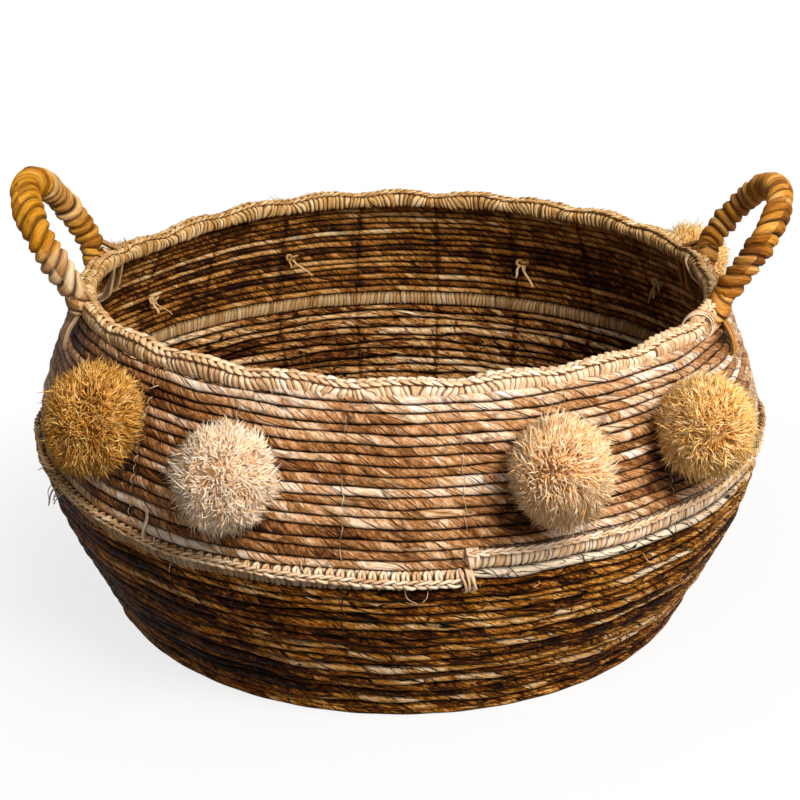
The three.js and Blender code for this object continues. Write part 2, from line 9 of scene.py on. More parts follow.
import bpy
import numpy as np
from numpy import clip, cos, exp, linspace, maximum, pi, radians, sin
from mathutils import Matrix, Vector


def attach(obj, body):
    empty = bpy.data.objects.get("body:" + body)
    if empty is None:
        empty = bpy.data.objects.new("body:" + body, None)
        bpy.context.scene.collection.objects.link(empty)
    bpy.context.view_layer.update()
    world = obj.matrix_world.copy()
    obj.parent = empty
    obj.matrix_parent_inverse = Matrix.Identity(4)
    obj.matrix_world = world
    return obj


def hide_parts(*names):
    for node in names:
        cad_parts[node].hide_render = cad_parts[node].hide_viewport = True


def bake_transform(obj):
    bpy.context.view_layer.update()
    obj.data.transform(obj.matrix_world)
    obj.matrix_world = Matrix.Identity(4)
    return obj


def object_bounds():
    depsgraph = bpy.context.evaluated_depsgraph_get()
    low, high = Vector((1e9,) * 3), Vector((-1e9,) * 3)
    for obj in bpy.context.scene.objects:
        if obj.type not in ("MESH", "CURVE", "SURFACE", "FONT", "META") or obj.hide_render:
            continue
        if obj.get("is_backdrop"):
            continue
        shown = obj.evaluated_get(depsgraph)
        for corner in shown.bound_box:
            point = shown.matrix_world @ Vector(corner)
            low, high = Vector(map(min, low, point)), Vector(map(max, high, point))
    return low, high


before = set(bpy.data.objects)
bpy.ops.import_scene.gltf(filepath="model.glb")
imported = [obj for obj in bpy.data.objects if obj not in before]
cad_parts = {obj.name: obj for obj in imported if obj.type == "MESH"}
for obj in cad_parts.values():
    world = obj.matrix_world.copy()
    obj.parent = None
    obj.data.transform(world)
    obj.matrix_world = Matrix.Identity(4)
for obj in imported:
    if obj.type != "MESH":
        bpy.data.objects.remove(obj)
cad_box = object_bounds()

# Outline of the wall and the coil that makes it
BASE_RADIUS, BELLY_RADIUS, BELLY_HEIGHT = 0.178, 0.216, 0.100
MOUTH_RADIUS, RIM_MIDDLE_HEIGHT = 0.1878, 0.18925
WALL_THICKNESS, BASE_THICKNESS = 0.0052, 0.0054
PINCH, PINCH_AT_STITCHES = 0.0012, 0.0005
PAIR_PITCH, PITCH_CHANGE, PITCH_BLEND = 0.0109, 0.00075, 1.6
BAND_MIDDLE_HEIGHT, BAND_RUN, BAND_LINKS = 0.1057, 2 * math.pi * 0.2145, 256
SEAM = 8.6
STITCH_LINES = 22
LINE_STEP = 360 / STITCH_LINES
COIL_RUN = 2 * math.pi * 0.2
ROPE_ROUND, FOLD = 0.017, 0.0115
ROPE_STEP = 0.0019

# Rim: the chain's seat is an angle round its section, measured from the level up
RIM_MIDDLE_RADIUS, RIM_ROPE_MIDDLE, RIM_TOP = 0.1828, 0.1876, 0.19415
RIM_HALF_WIDTH, RIM_HALF_HEIGHT, RIM_DIP = 0.0050, 0.0034, 0.0023
RIM_STRIPS, RIM_LINKS = 350, 236
CHAIN_SEAT = math.radians(86)
SAG_AZIMUTH, SAG_SPREAD, SAG_DEPTH = -124, 21, 0.0055

# Belly band, which has slid down a little at the front left
SLIDE_AZIMUTH, SLIDE_SPREAD, SLIDE_DEPTH, SLIDE_REACH = -33, 17, 0.0032, 0.022

# Handles
HANDLE_AZIMUTH = 85
HANDLE_LEAN = {"left": 30.5, "right": 34.5}
FOOT_HALF_SPAN, FOOT_CIRCLE_RADIUS = 0.0445, 0.1878
FOOT_SWING = math.degrees(math.asin(FOOT_HALF_SPAN / FOOT_CIRCLE_RADIUS))
HINGE_HEIGHT = 0.19755
HANDLE_HEIGHT, WIDEST_HALF_SPAN, WIDEST_HEIGHT = 0.0575, 0.049, 0.014
CROWN_PULL = 0.62
WINDING_RADIUS, FOOT_BALL = 0.0086, 0.0054
WINDING_TURNS = {"left": 27, "right": 29}
LEAF_RUN_PER_TURN = 0.05
LASHING_DEPTH, LASHING_SIDESTEP = 0.028, 0.0028

# Pompoms: azimuth and height of the middle, and the raffia each is cut from
POMPOMS = {
    "front_left_outer": (-44.3, 0.1632, "golden"), "front_left_inner": (-21.9, 0.1535, "pale"),
    "front_right_inner": (20.0, 0.1572, "sandy"), "front_right_outer": (43.6, 0.1599, "honey"),
    "back_right_outer": (119.5, 0.163, "honey"), "back_right_inner": (154.0, 0.150, "sandy"),
    "back_left_inner": (-157.0, 0.154, "pale"), "back_left_outer": (-124.0, 0.146, "golden")}
POMPOM_RADIUS, POMPOM_CORE, POMPOM_STRANDS = 0.0275, 0.0185, 6400
POMPOM_STAND_OFF, POMPOM_SINK, KNOT_STAND_OFF = 0.022, 0.0018, 0.0022


def add_camera():
    """Camera straight in front, 22 degrees above the level, fitted to the photographed outline."""
    data = bpy.data.cameras.new("camera")
    data.lens, data.sensor_width = 68.38, 36
    camera = bpy.data.objects.new("camera", data)
    camera.location = (0, -0.8622, 0.4569)
    camera.rotation_euler = (math.radians(90 - 21.98), 0, 0)
    bpy.context.scene.collection.objects.link(camera)
    bpy.context.scene.camera = camera


add_camera()


# Curves and noise

def picked(number, low, high, seed, count=4096):
    """A random amount from low to high for each whole number."""
    return np.random.default_rng(seed).uniform(low, high, count)[number % count]


def wander(place, step, seed):
    """Smooth random line from -1 to 1: a random height at every step, joined by eased slopes."""
    whole = np.floor(place / step).astype(int)
    ease = place / step - whole
    ease = ease * ease * (3 - 2 * ease)
    return picked(whole, -1, 1, seed) * (1 - ease) + picked(whole + 1, -1, 1, seed) * ease


def eased(low, high, value):
    """Smooth step: 0 below low, 1 above high, a cubic slope between."""
    share = clip((value - low) / (high - low), 0, 1)
    return share * share * (3 - 2 * share)


def squarish(wave, power=0.75):
    """Sine or cosine flattened towards a square wave, for rounded box sections."""
    return np.sign(wave) * np.abs(wave) ** power


def unit(vectors, guard=1e-12):
    """Vectors scaled to length 1; the guard keeps those of no length at nothing."""
    return vectors / (np.linalg.norm(vectors, axis=-1)[..., None] + guard)


def around(sides, start=0.0):
    """Angles of a ring's corners, as a row."""
    return start + linspace(0, 2 * pi, sides, endpoint=False)[None, :]


def bezier(corners):
    """Curve of four corners: each weighted by its cubic Bernstein share."""
    t = linspace(0, 1, 300)[:, None]
    a, b, c, d = np.array(corners, dtype=float)
    return a * (1 - t) ** 3 + 3 * b * t * (1 - t) ** 2 + 3 * c * t * t * (1 - t) + d * t ** 3


def spline(points, count):
    """Smooth curve through points: on each stretch a cubic whose slopes are half the chord of the
    neighbouring points, read at even shares of the number of stretches."""
    points = np.asarray(points, dtype=float)
    ends = np.vstack([2 * points[0] - points[1], points, 2 * points[-1] - points[-2]])
    place = linspace(0, len(points) - 1, count)
    whole = np.minimum(place.astype(int), len(points) - 2)
    t = (place - whole)[:, None]
    a, b, c, d = (ends[whole + k] for k in range(4))
    return b + 0.5 * t * (c - a + t * (2 * a - 5 * b + 4 * c - d + t * (3 * (b - c) + d - a)))


def measured(points):
    """A line's points, the length run along it at each of them, and its direction there."""
    run = np.concatenate([[0], np.cumsum(np.linalg.norm(np.diff(points, axis=0), axis=1))])
    return points, run, unit(np.gradient(points, run, axis=0), 0)


def at(place, line, lengths):
    """A line's two columns at places along it."""
    return [np.interp(place, lengths, line[:, k]) for k in (0, 1)]


# Outline: radius and height along the wall, by the length of arc up it
swell, draw = BELLY_RADIUS - BASE_RADIUS, BELLY_RADIUS - MOUTH_RADIUS
rise = RIM_MIDDLE_HEIGHT - BELLY_HEIGHT
OUTLINE, ARCS, SLOPES = measured(np.vstack([bezier([
    (BASE_RADIUS, 0), (BASE_RADIUS + 0.185 * swell, 0.25 * BELLY_HEIGHT),
    (BELLY_RADIUS - 0.195 * swell, 0.55 * BELLY_HEIGHT), (BELLY_RADIUS, BELLY_HEIGHT)]), bezier([
        (BELLY_RADIUS, BELLY_HEIGHT), (BELLY_RADIUS, BELLY_HEIGHT + 0.33 * rise),
        (MOUTH_RADIUS + 0.45 * draw, RIM_MIDDLE_HEIGHT - 0.28 * rise),
        (MOUTH_RADIUS, RIM_MIDDLE_HEIGHT)])[1:]]))
BAND_ARC = np.interp(BAND_MIDDLE_HEIGHT, OUTLINE[:, 1], ARCS)


def turned(radius, azimuth, height):
    """Point at a radius and height, turned to an azimuth."""
    angle = radians(azimuth)
    return np.stack(np.broadcast_arrays(radius * sin(angle), -radius * cos(angle), height), -1)


def outward_and_along(azimuth):
    """Level directions away from the basket's axis and round it."""
    outward = turned(1.0, azimuth, 0.0)
    return outward, np.array([-outward[1], outward[0], 0.0])


def wrapped(azimuth):
    """The same azimuth between -180 and 180."""
    return (azimuth + 180) % 360 - 180


def sag(azimuth, height):
    """How far the mouth hangs down at the back left: a bell of azimuth, growing up the wall."""
    away = wrapped(np.asarray(azimuth) - SAG_AZIMUTH)
    return SAG_DEPTH * exp(-(away / SAG_SPREAD) ** 2) * eased(0.10, 0.19, height)


def wall(arc, out, azimuth):
    """Point up the wall by arc length and out along its normal. The stitches pull the round wall
    in a little at their 22 lines, the mouth sags at the back left, and the rows near the band have
    slid down at the front left: a bell of azimuth times a bell of arc length."""
    away = wrapped(np.asarray(azimuth) - SLIDE_AZIMUTH)
    slide = exp(-(away / SLIDE_SPREAD) ** 2 - ((arc - BAND_ARC) / SLIDE_REACH) ** 2)
    arc = arc - SLIDE_DEPTH * slide
    along = clip(arc, 0, ARCS[-1])
    (radius, height), (outwards, upwards) = at(along, OUTLINE, ARCS), at(along, SLOPES, ARCS)
    radius = radius + (arc - along) * outwards + out * upwards
    height = height + (arc - along) * upwards - out * outwards
    pinch = PINCH + PINCH_AT_STITCHES * cos(radians(STITCH_LINES * (azimuth - SEAM)))
    return turned(radius - pinch, azimuth, height - sag(azimuth, height))


def coil_arc(turns):
    """Arc length of the middle of the pair of ropes, after so many turns from the band's start."""
    along = turns - 0.5
    thinning = PITCH_BLEND * np.log(np.cosh(along / PITCH_BLEND))
    return BAND_ARC + PAIR_PITCH * along - PITCH_CHANGE * thinning


def pair_pitch(turns):
    """Height of the pair of ropes up the wall: it thins from the lower wall to the upper one."""
    return PAIR_PITCH - PITCH_CHANGE * np.tanh((turns - 0.5) / PITCH_BLEND)


def rope_arc(turns, strand):
    return coil_arc(turns) + strand * pair_pitch(turns) / 4


def coil_azimuth(turns):
    return SEAM - 360 * turns


def turns_at(arc, strand):
    """Turns after which a rope of the pair reaches an arc length."""
    turns = linspace(-14, 14, 5601)
    return float(np.interp(arc, rope_arc(turns, strand), turns))


def rim(azimuth, out, up):
    """Point by the rim: out from its middle radius and up from its rope's middle. It dips at each
    line of stitches and wanders a little, as a hand-bound rim does."""
    dip = RIM_DIP * (0.5 + 0.5 * cos(radians(STITCH_LINES * (azimuth - SEAM)))) ** 1.6
    share = eased(-RIM_HALF_HEIGHT, RIM_HALF_HEIGHT, up)
    lift = 0.0007 * wander(azimuth + 180, 11.25, 5) - share * dip + 0.0008
    radius = RIM_MIDDLE_RADIUS + out + 0.0008 * wander(azimuth + 180, 22.5, 6)
    height = RIM_ROPE_MIDDLE + up + lift
    return turned(radius, azimuth, height - sag(azimuth, height))


# Meshes: points, the corners of all faces in a row, the faces' sizes and a UV pair for each corner

def put(name, made, material, slot="pale_raffia", replaced=(), body="basket", **marks):
    """Mesh object that rides on a body, if one is given, and stands for the CAD nodes that it
    replaces. Marks are numbers for each point, which the material reads by name."""
    points, corners, sizes, uv = made
    mesh = bpy.data.meshes.new(name)
    mesh.vertices.add(len(points))
    mesh.vertices.foreach_set("co", np.ascontiguousarray(points, dtype=np.float32).ravel())
    mesh.loops.add(len(corners))
    mesh.loops.foreach_set("vertex_index", np.asarray(corners, dtype=np.int32))
    mesh.polygons.add(len(sizes))
    starts = np.concatenate([[0], np.cumsum(sizes)[:-1]]).astype(np.int32)
    mesh.polygons.foreach_set("loop_start", starts)
    layer = mesh.uv_layers.new(name="strip")
    layer.data.foreach_set("uv", np.ascontiguousarray(uv, dtype=np.float32).ravel())
    mesh.update(calc_edges=True)
    mesh.validate()
    mesh.shade_smooth()
    mesh.materials.append(material)
    for mark, values in marks.items():
        filled = np.broadcast_to(np.ravel(values), len(points)).astype(np.float32)
        mesh.attributes.new(mark, "FLOAT", "POINT").data.foreach_set("value", filled)
    piece = bpy.data.objects.new(name, mesh)
    bpy.context.scene.collection.objects.link(piece)
    if body:
        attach(piece, body)
    if replaced:
        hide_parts(*replaced)
    return piece


def quads_of(rows, sides, looped=False):
    """Corners of a quad from each side to the next on each stretch between rows of points."""
    row, side = np.arange(rows if looped else rows - 1)[:, None], np.arange(sides)[None, :]
    after, beside = (row + 1) % rows, (side + 1) % sides
    return np.stack(np.broadcast_arrays(
        row * sides + side, row * sides + beside,
        after * sides + beside, after * sides + side), -1).reshape(-1, 4)


def skin(rings, uv_along, uv_round, looped=False):
    """Faces over a grid of rings (ring, side, xyz): quads, and a flat cap at each end unless the
    last ring joins the first. The UV grid has one more column than the rings have sides, and one
    more row where they are looped."""
    count, sides = rings.shape[:2]
    grid = np.stack(np.broadcast_arrays(uv_along, uv_round), -1)
    stretches = count if looped else count - 1
    uv = np.stack([grid[:stretches, :-1], grid[:stretches, 1:], grid[1:stretches + 1, 1:],
                   grid[1:stretches + 1, :-1]], -2).reshape(-1, 2)
    corners = quads_of(count, sides, looped).ravel()
    sizes = np.full(stretches * sides, 4)
    if not looped:
        first, last = np.arange(sides)[::-1], (count - 1) * sides + np.arange(sides)
        corners = np.concatenate([corners, first, last])
        sizes = np.concatenate([sizes, [sides, sides]])
        uv = np.concatenate([uv, grid[0, :sides][::-1], grid[-1, :sides]])
    return facing_out(rings.reshape(-1, 3), corners, sizes, uv)


def facing_out(points, corners, sizes, uv):
    """Turns every face over when the closed skin's signed volume, summed over the fan of
    triangles that each face makes, is below nothing."""
    starts = np.repeat(np.concatenate([[0], np.cumsum(sizes)[:-1]]), sizes)
    sides, place = np.repeat(sizes, sizes), np.arange(len(corners)) - starts
    first, after = points[corners[starts]], points[corners[starts + (place + 1) % sides]]
    if np.einsum("ij,ij->", first, np.cross(points[corners], after)) >= 0:
        return points, corners, sizes, uv
    flipped = starts + sides - 1 - place
    return points, corners[flipped], sizes, uv[flipped]


def joined(skins):
    """Several skins as one: their points in a row, the corners moved on to match."""
    shifts = np.cumsum([0] + [len(s[0]) for s in skins[:-1]])
    moved = [(points, corners + shift, sizes, uv)
             for (points, corners, sizes, uv), shift in zip(skins, shifts)]
    return tuple(np.concatenate(part) for part in zip(*moved))


def edge_count(number, sides):
    """UV across a flat strand: a whole number on its two edges, half way between on its faces."""
    return number + 0.5 + 0.49 * cos(linspace(0, 2 * pi, sides + 1))[None, :]


def strand(path, half_wide, half_thick, face, number, sides=6, power=1.0, taper=0.0):
    """Flat strand along a path of points: an oval ring at each point, wide across the path and
    thin along the given face direction, thinned towards both ends by the taper's share."""
    path = np.asarray(path, dtype=float)
    run = measured(path)[1]
    tangent = unit(np.gradient(path, axis=0))
    across = unit(np.cross(tangent, np.broadcast_to(face, path.shape)))
    angle = around(sides)[..., None]
    share = run / run[-1]
    thin = (1 - taper + taper * np.sqrt(clip(4 * share * (1 - share), 0, 1)))[:, None, None]
    half_wide, half_thick = (np.broadcast_to(half, share.shape)[:, None, None]
                             for half in (half_wide, half_thick))
    rings = path[:, None] + thin * (
        half_wide * squarish(cos(angle), power) * across[:, None]
        + half_thick * squarish(sin(angle), power) * np.cross(across, tangent)[:, None])
    return skin(rings, edge_count(number, sides), run[:, None])


# Materials

def linear(colour):
    """sRGB hex to linear light: a straight foot, then a power of 2.4."""
    srgb = np.array([int(colour[k:k + 2], 16) for k in (1, 3, 5)]) / 255
    return (*np.where(srgb <= 0.04045, srgb / 12.92, ((srgb + 0.055) / 1.055) ** 2.4), 1.0)


def add(tree, kind, sockets=None, stops=None, **settings):
    """Adds one node: its settings, its inputs as values or links, and a colour ramp's stops."""
    made = tree.nodes.new("ShaderNode" + kind)
    for key, value in settings.items():
        setattr(made, key, value)
    for key, value in (sockets or {}).items():
        if isinstance(value, bpy.types.NodeSocket):
            tree.links.new(value, made.inputs[key])
        else:
            made.inputs[key].default_value = value
    if stops:
        elements = made.color_ramp.elements
        elements[0].position, elements[1].position = stops[0][0], stops[-1][0]
        for place, _ in stops[1:-1]:
            elements.new(place)
        for element, (_, colour) in zip(elements, stops):
            element.color = linear(colour)
    return made


def blank_material(name):
    """New material, its emptied node tree, and short calls for the nodes used most in it."""
    material = bpy.data.materials.new(name)
    material.use_nodes = True
    material.node_tree.nodes.clear()
    return (material, *short_calls(material.node_tree))


def short_calls(tree):
    """A tree with its calls for one sum, one mapped range, a smooth fall from one range's start to
    its end, a mix of two colours, and a named attribute."""
    def calc(operation, *values):
        return add(tree, "Math", dict(enumerate(values)), operation=operation).outputs[0]

    def mapped(value, low=0.0, high=1.0, start=0.0, end=1.0, kind="LINEAR"):
        return add(tree, "MapRange", {"Value": value, "From Min": low, "From Max": high,
                                      "To Min": start, "To Max": end},
                   interpolation_type=kind).outputs[0]

    def falling(value, low, high):
        return mapped(value, low, high, 1.0, 0.0, "SMOOTHSTEP")

    def mix(share, first, second):
        return add(tree, "Mix", {0: share, 6: first, 7: second}, data_type="RGBA").outputs[2]

    def mark(name):
        return add(tree, "Attribute", attribute_name=name).outputs["Fac"]

    return tree, calc, mapped, falling, mix, mark


def finish_leaf(tree, colour, height, roughness, depth, shine):
    """Surface of a dry leaf: the colour, a bump of the given depth and a faint satin shine."""
    bump = add(tree, "Bump", {"Height": height, "Strength": 0.7, "Distance": depth})
    surface = add(tree, "BsdfPrincipled", {
        "Base Color": colour, "Normal": bump.outputs[0], "Roughness": roughness, "IOR": 1.45,
        "Specular IOR Level": shine})
    add(tree, "OutputMaterial", {0: surface.outputs[0]})


def twisted_leaf(name, tones, shaded_inner_tones, shade_colour, slant, leaf_size, shine, crack_shade, gap):
    """Dry banana leaf twisted into rope: satin, mottled from cream to dark brown where one leaf
    follows another. The UV map counts the folds, 11.5 mm apart, and runs in metres round the rope,
    from its lowest line. From it come metres along and across the fibres, which lean by the slant.
    Each leaf is a long Voronoi cell with its own tone and a crack round it, darkened by painted
    shade.
    Painted shade darkens the rope in the gaps below and above each row, from the two gap levels on
    (-1 lowest, 1 highest), and its inside has its own darker tones and wider gaps: painted shade."""
    material, tree, calc, mapped, falling, mix, mark = blank_material(name)
    folds, round_it = add(tree, "SeparateXYZ", {
        0: add(tree, "UVMap", uv_map="strip").outputs[0]}).outputs[:2]
    run = calc("MULTIPLY_ADD", round_it, 2 * FOLD / ROPE_ROUND, calc("MULTIPLY", folds, FOLD))
    lean = math.radians(slant)
    up, level = math.cos(lean), math.sin(lean)
    along, across = (calc("MULTIPLY_ADD", run, by_run, calc("MULTIPLY", round_it, by_round))
                     for by_run, by_round in ((up, level), (-level, up)))

    def pattern(kind, size, sockets, **settings):
        place = add(tree, "CombineXYZ", {
            k: calc("MULTIPLY", value, 1 / metres)
            for k, (value, metres) in enumerate(zip((across, along), size))})
        return add(tree, kind, {"Vector": place.outputs[0], "Scale": 1, **sockets}, **settings)

    # Fibres 0.7 mm and 2.2 mm wide, blotches of 6 by 12 mm and flecks of 1.2 mm
    noise = {"Detail": 3, "Roughness": 0.6}
    fine, coarse, blotch, fleck = (
        pattern("TexNoise", size, detail).outputs[0] for size, detail in (
            ((0.0007, 0.0045), noise), ((0.0022, 0.011), noise), ((0.006, 0.012), noise),
            ((0.0012, 0.0016), {"Detail": 2})))
    across = calc("MULTIPLY_ADD", blotch, 0.004, across)
    leaf = pattern("TexVoronoi", leaf_size, {}).outputs["Color"]
    crack = pattern("TexVoronoi", leaf_size, {}, feature="DISTANCE_TO_EDGE").outputs["Distance"]
    turn = calc("MULTIPLY", round_it, 2 * math.pi / ROPE_ROUND)
    weights = ((add(tree, "SeparateXYZ", {0: leaf}).outputs[0], 0.32), (blotch, 0.4),
               (coarse, 0.68), (fine, 1.05), (fleck, 0.4))
    pick = mark("pale")
    for value, weight in weights:
        pick = calc("MULTIPLY_ADD", value, weight, pick)
    pick = calc("SUBTRACT", pick, sum(weight for _, weight in weights) / 2 - 0.5)
    # The inside takes its darker tones: painted shade.
    outside = mapped(calc("SINE", turn), -0.3, 0.3)
    tint = mix(outside, *(add(tree, "ValToRGB", {0: pick}, stops=stops).outputs[0]
                          for stops in (shaded_inner_tones, tones)))
    # Painted shade in dark lines where a fold tucks under the next and round each leaf, broken in
    # places
    nearest = calc("ROUND", folds)
    deep = add(tree, "TexWhiteNoise", {"W": nearest}, noise_dimensions="1D").outputs[0]
    deep = calc("MULTIPLY_ADD", blotch, 1.6, calc("SUBTRACT", deep, 0.75))
    away = calc("ABSOLUTE", calc("SUBTRACT", calc("MULTIPLY_ADD", coarse, 0.3, folds),
                                 calc("ADD", nearest, 0.15)))
    cut = calc("MULTIPLY", falling(away, 0.01, 0.07), mapped(deep, 0.25, 0.7, end=0.85))
    leaf_crack_shade = calc("MULTIPLY", falling(crack, 0.012, 0.065), mapped(coarse, 0.36, 0.56, end=crack_shade))
    whole = calc("SUBTRACT", 1.0, calc("MAXIMUM", cut, leaf_crack_shade))
    # Painted shade in the gaps between the rows, more so under each rope
    level = calc("MULTIPLY_ADD", calc("COSINE", turn), -1.0,
                 calc("MULTIPLY_ADD", coarse, 0.3, -0.15))
    below, above = mapped(outside, start=-0.1, end=gap[0]), mapped(outside, start=0.45, end=gap[1])
    gaps = calc("MULTIPLY", mapped(level, -0.9, below, kind="SMOOTHSTEP"),
                falling(level, above, 0.98))
    colour = mix(calc("MULTIPLY", whole, gaps), linear(shade_colour), tint)
    height = whole
    for value, weight in ((fine, 0.7), (coarse, 0.9), (fleck, 0.4)):
        height = calc("MULTIPLY_ADD", value, weight, height)
    finish_leaf(tree, colour, height, mapped(fine, start=0.32, end=0.75), 0.001, shine)
    return material


def leaf_strip(name, tones, shade_colour, width, patch, edge=0.12, rough=(0.5, 0.8), bleached=None,
               lit_from=None, shine=0.08, grain=1.4):
    """Strips of leaf or raffia lying side by side. The UV map counts strips across and metres
    along them: each strip picks a tone, which drifts along it in patches, fine fibres run along
    it, and painted shade darkens its edges where the next one covers them, some more than others,
    and wherever a mark asks for it. With lit_from, painted shade darkens strips from that distance
    down to their root."""
    material, tree, calc, mapped, falling, mix, mark = blank_material(name)
    across, along = add(tree, "SeparateXYZ", {
        0: add(tree, "UVMap", uv_map="strip").outputs[0]}).outputs[:2]
    number, share = calc("FLOOR", across), calc("FRACT", across)

    def random(whole):
        return add(tree, "TexWhiteNoise", {"W": whole}, noise_dimensions="1D").outputs[0]

    def noise(value, per_strip, metres):
        place = add(tree, "CombineXYZ", {0: calc("MULTIPLY", value, per_strip),
                                         1: calc("MULTIPLY", along, 1 / metres)})
        return add(tree, "TexNoise", {
            "Vector": place.outputs[0], "Scale": 1, "Detail": 2}).outputs[0]

    # Fibres some 0.45 mm wide and 6 mm long
    drift, fibre = noise(number, 7.31, patch), noise(across, width / 0.00045, 0.006)
    pick = calc("MULTIPLY_ADD", drift, 0.8, calc("MULTIPLY", random(number), 0.4))
    pick = calc("SUBTRACT", calc("MULTIPLY_ADD", fibre, grain, pick), grain / 2 + 0.1)
    tint = add(tree, "ValToRGB", {0: pick}, stops=tones).outputs[0]
    if bleached:
        pale = add(tree, "ValToRGB", {0: pick}, stops=bleached).outputs[0]
        tint = mix(mark("bleach"), tint, pale)
    height = fibre
    # Painted shade towards the root, where strands lie deep in a pompom.
    if lit_from:
        tint = mix(mapped(along, lit_from * 0.65, lit_from, start=0.1), linear(shade_colour), tint)
    # Painted shade on the edges that the next strip covers, and where the mark asks for it.
    if edge:
        near = calc("MINIMUM", share, calc("SUBTRACT", 1.0, share))
        deep = mapped(random(calc("ROUND", across)), start=0.45)
        dark = falling(near, 0.0, edge)
        height = calc("MULTIPLY_ADD", dark, -0.9, calc("MULTIPLY", fibre, 0.8))
        dark = calc("MAXIMUM", calc("MULTIPLY", dark, deep), mark("covered"))
        tint = mix(dark, tint, linear(shade_colour))
    finish_leaf(tree, tint, height, mapped(fibre, start=rough[0], end=rough[1]), 0.0006, shine)
    return material


upper_leaf = twisted_leaf("twisted_banana_leaf", [
    (0.0, "#271206"), (0.16, "#552e14"), (0.32, "#85532a"), (0.47, "#ad7645"), (0.61, "#cb986a"),
    (0.75, "#e6c09b"), (0.88, "#f3d9bf"), (1.0, "#fbecdd")], [
    (0.1, "#1c0a02"), (0.28, "#422008"), (0.42, "#734113"), (0.54, "#a26524"),
    (0.66, "#c7873d"), (0.79, "#dda765"), (0.95, "#efcd9c")], "#0d0501",
    36.5, (0.0062, 0.032), 0.08, 0.6, (-0.34, 0.7))
# The lower wall's leaf has darker tones than the upper wall's: partly its own colour, partly
# painted shade, as the lower wall faces down, away from the light.
lower_leaf = twisted_leaf("dark_shaded_twisted_banana_leaf", [
    (0.08, "#120600"), (0.27, "#3a1a06"), (0.42, "#723f10"), (0.55, "#ab681f"),
    (0.68, "#cf9245"), (0.8, "#dfb27c"), (0.98, "#f3dabb")], [
    (0.1, "#2c1305"), (0.28, "#5f3413"), (0.42, "#935c29"), (0.54, "#bd8348"),
    (0.66, "#d8a56a"), (0.79, "#e9c393"), (0.95, "#f6dfbd")], "#020000",
    15, (0.0036, 0.024), 0.03, 1.0, (-0.1, 0.35))
raffia = leaf_strip("pale_raffia", [
    (0.0, "#7a4d1f"), (0.25, "#ac7838"), (0.5, "#d2a05c"), (0.75, "#e9c187"), (1.0, "#f8dfb4")],
    "#341a06", 0.003, 0.03, bleached=[
    (0.0, "#a4764a"), (0.25, "#d8ab7d"), (0.5, "#f3d0aa"), (0.75, "#fbe3c8"), (1.0, "#fff4e4")])
golden = {
    side: leaf_strip("golden_leaf_strip_" + side, tones, "#1c0b02", 0.006, 0.022, edge=0.25,
                     shine=0.2, grain=0.9, bleached=[
                         (0.0, "#6e451f"), (0.3, "#b3824c"), (0.6, "#e0b988"), (1.0, "#f9e6cc")])
    for side, tones in {
        "left": [(0.0, "#522b04"), (0.25, "#965a09"), (0.5, "#c68211"), (0.75, "#e0a032"),
                 (1.0, "#f4cc80")],
        "right": [(0.0, "#381a03"), (0.25, "#7c450a"), (0.5, "#b87216"), (0.75, "#da9a38"),
                  (1.0, "#f1c67e")]}.items()}
# Each cut raffia's root colour is painted shade, laid on the strands towards the pompom's middle.
cut_raffia = {
    tone: leaf_strip("cut_raffia_" + tone, stops, root, 0.001, 0.012, edge=0, rough=(0.6, 0.9),
                     lit_from=0.0215)
    for tone, root, stops in (
        ("golden", "#4a2804", [(0.0, "#733e09"), (0.3, "#b26e1f"), (0.55, "#e2a74e"),
                               (0.8, "#f5cd80"), (1.0, "#fbe2ac")]),
        ("pale", "#d19250", [(0.0, "#e6a668"), (0.3, "#fed6a2"), (0.55, "#ffe8cc"),
                             (1.0, "#fff8ec")]),
        ("sandy", "#c07c36", [(0.0, "#da9142"), (0.3, "#ffc47c"), (0.55, "#ffdcac"),
                              (1.0, "#fff2da")]),
        ("honey", "#a0651c", [(0.0, "#c87f2a"), (0.3, "#f8b454"), (0.55, "#ffd68c"),
                              (1.0, "#ffefc6")]))}
thread = leaf_strip("raffia_thread", [
    (0.0, "#6f5638"), (0.5, "#b39a78"), (1.0, "#e2d6c0")], "#1c0e04", 0.001, 0.02, edge=0.01)


# Wall: the two ropes of the coil, below and above the belly band

def row_edges(turns, strand_side):
    """Arc lengths of a rope's lower and upper edge. Each edge is one uneven line that both
    neighbours share, so that a thick row lies by a thin one with no gap between. It strays more in
    the older, lower wall and runs true at the band, where a long pale leaf thickens its row."""
    def stray(turns, seed):
        place = turns * COIL_RUN + 100
        return np.where(turns < 0.5, 0.0018, 0.0009) * (
            0.75 * wander(place, 0.05, seed) + 0.4 * wander(place, 0.017, seed + 1))

    coil, half = coil_arc(turns), pair_pitch(turns) / 2
    middle = coil + stray(turns, 21) * eased(0, 0.02, np.abs(turns - 0.5) - 0.5)
    middle = middle - 0.0014 * eased(-0.5, -0.35, turns) * (1 - eased(-0.03, 0, turns))
    if strand_side < 0:
        return coil - half + stray(turns - 1, 23) * eased(0, 0.03, np.abs(turns - 1) - 1), middle
    return middle, coil + half + stray(turns, 23) * eased(0, 0.03, np.abs(turns) - 1)


def rope_depth(half):
    """Half thickness of a rope across the wall, by its half height: a thick one stands out more."""
    return 0.0029 * (0.6 + 0.4 * half / 0.0027)


def pompom_seat(height):
    """Arc length under a pompom whose middle, held off the wall, is at a height."""
    middles = OUTLINE[:, 1] - POMPOM_STAND_OFF * SLOPES[:, 0]
    rising = maximum.accumulate(middles)
    return float(np.interp(height, rising + 1e-9 * np.arange(len(rising)), ARCS))


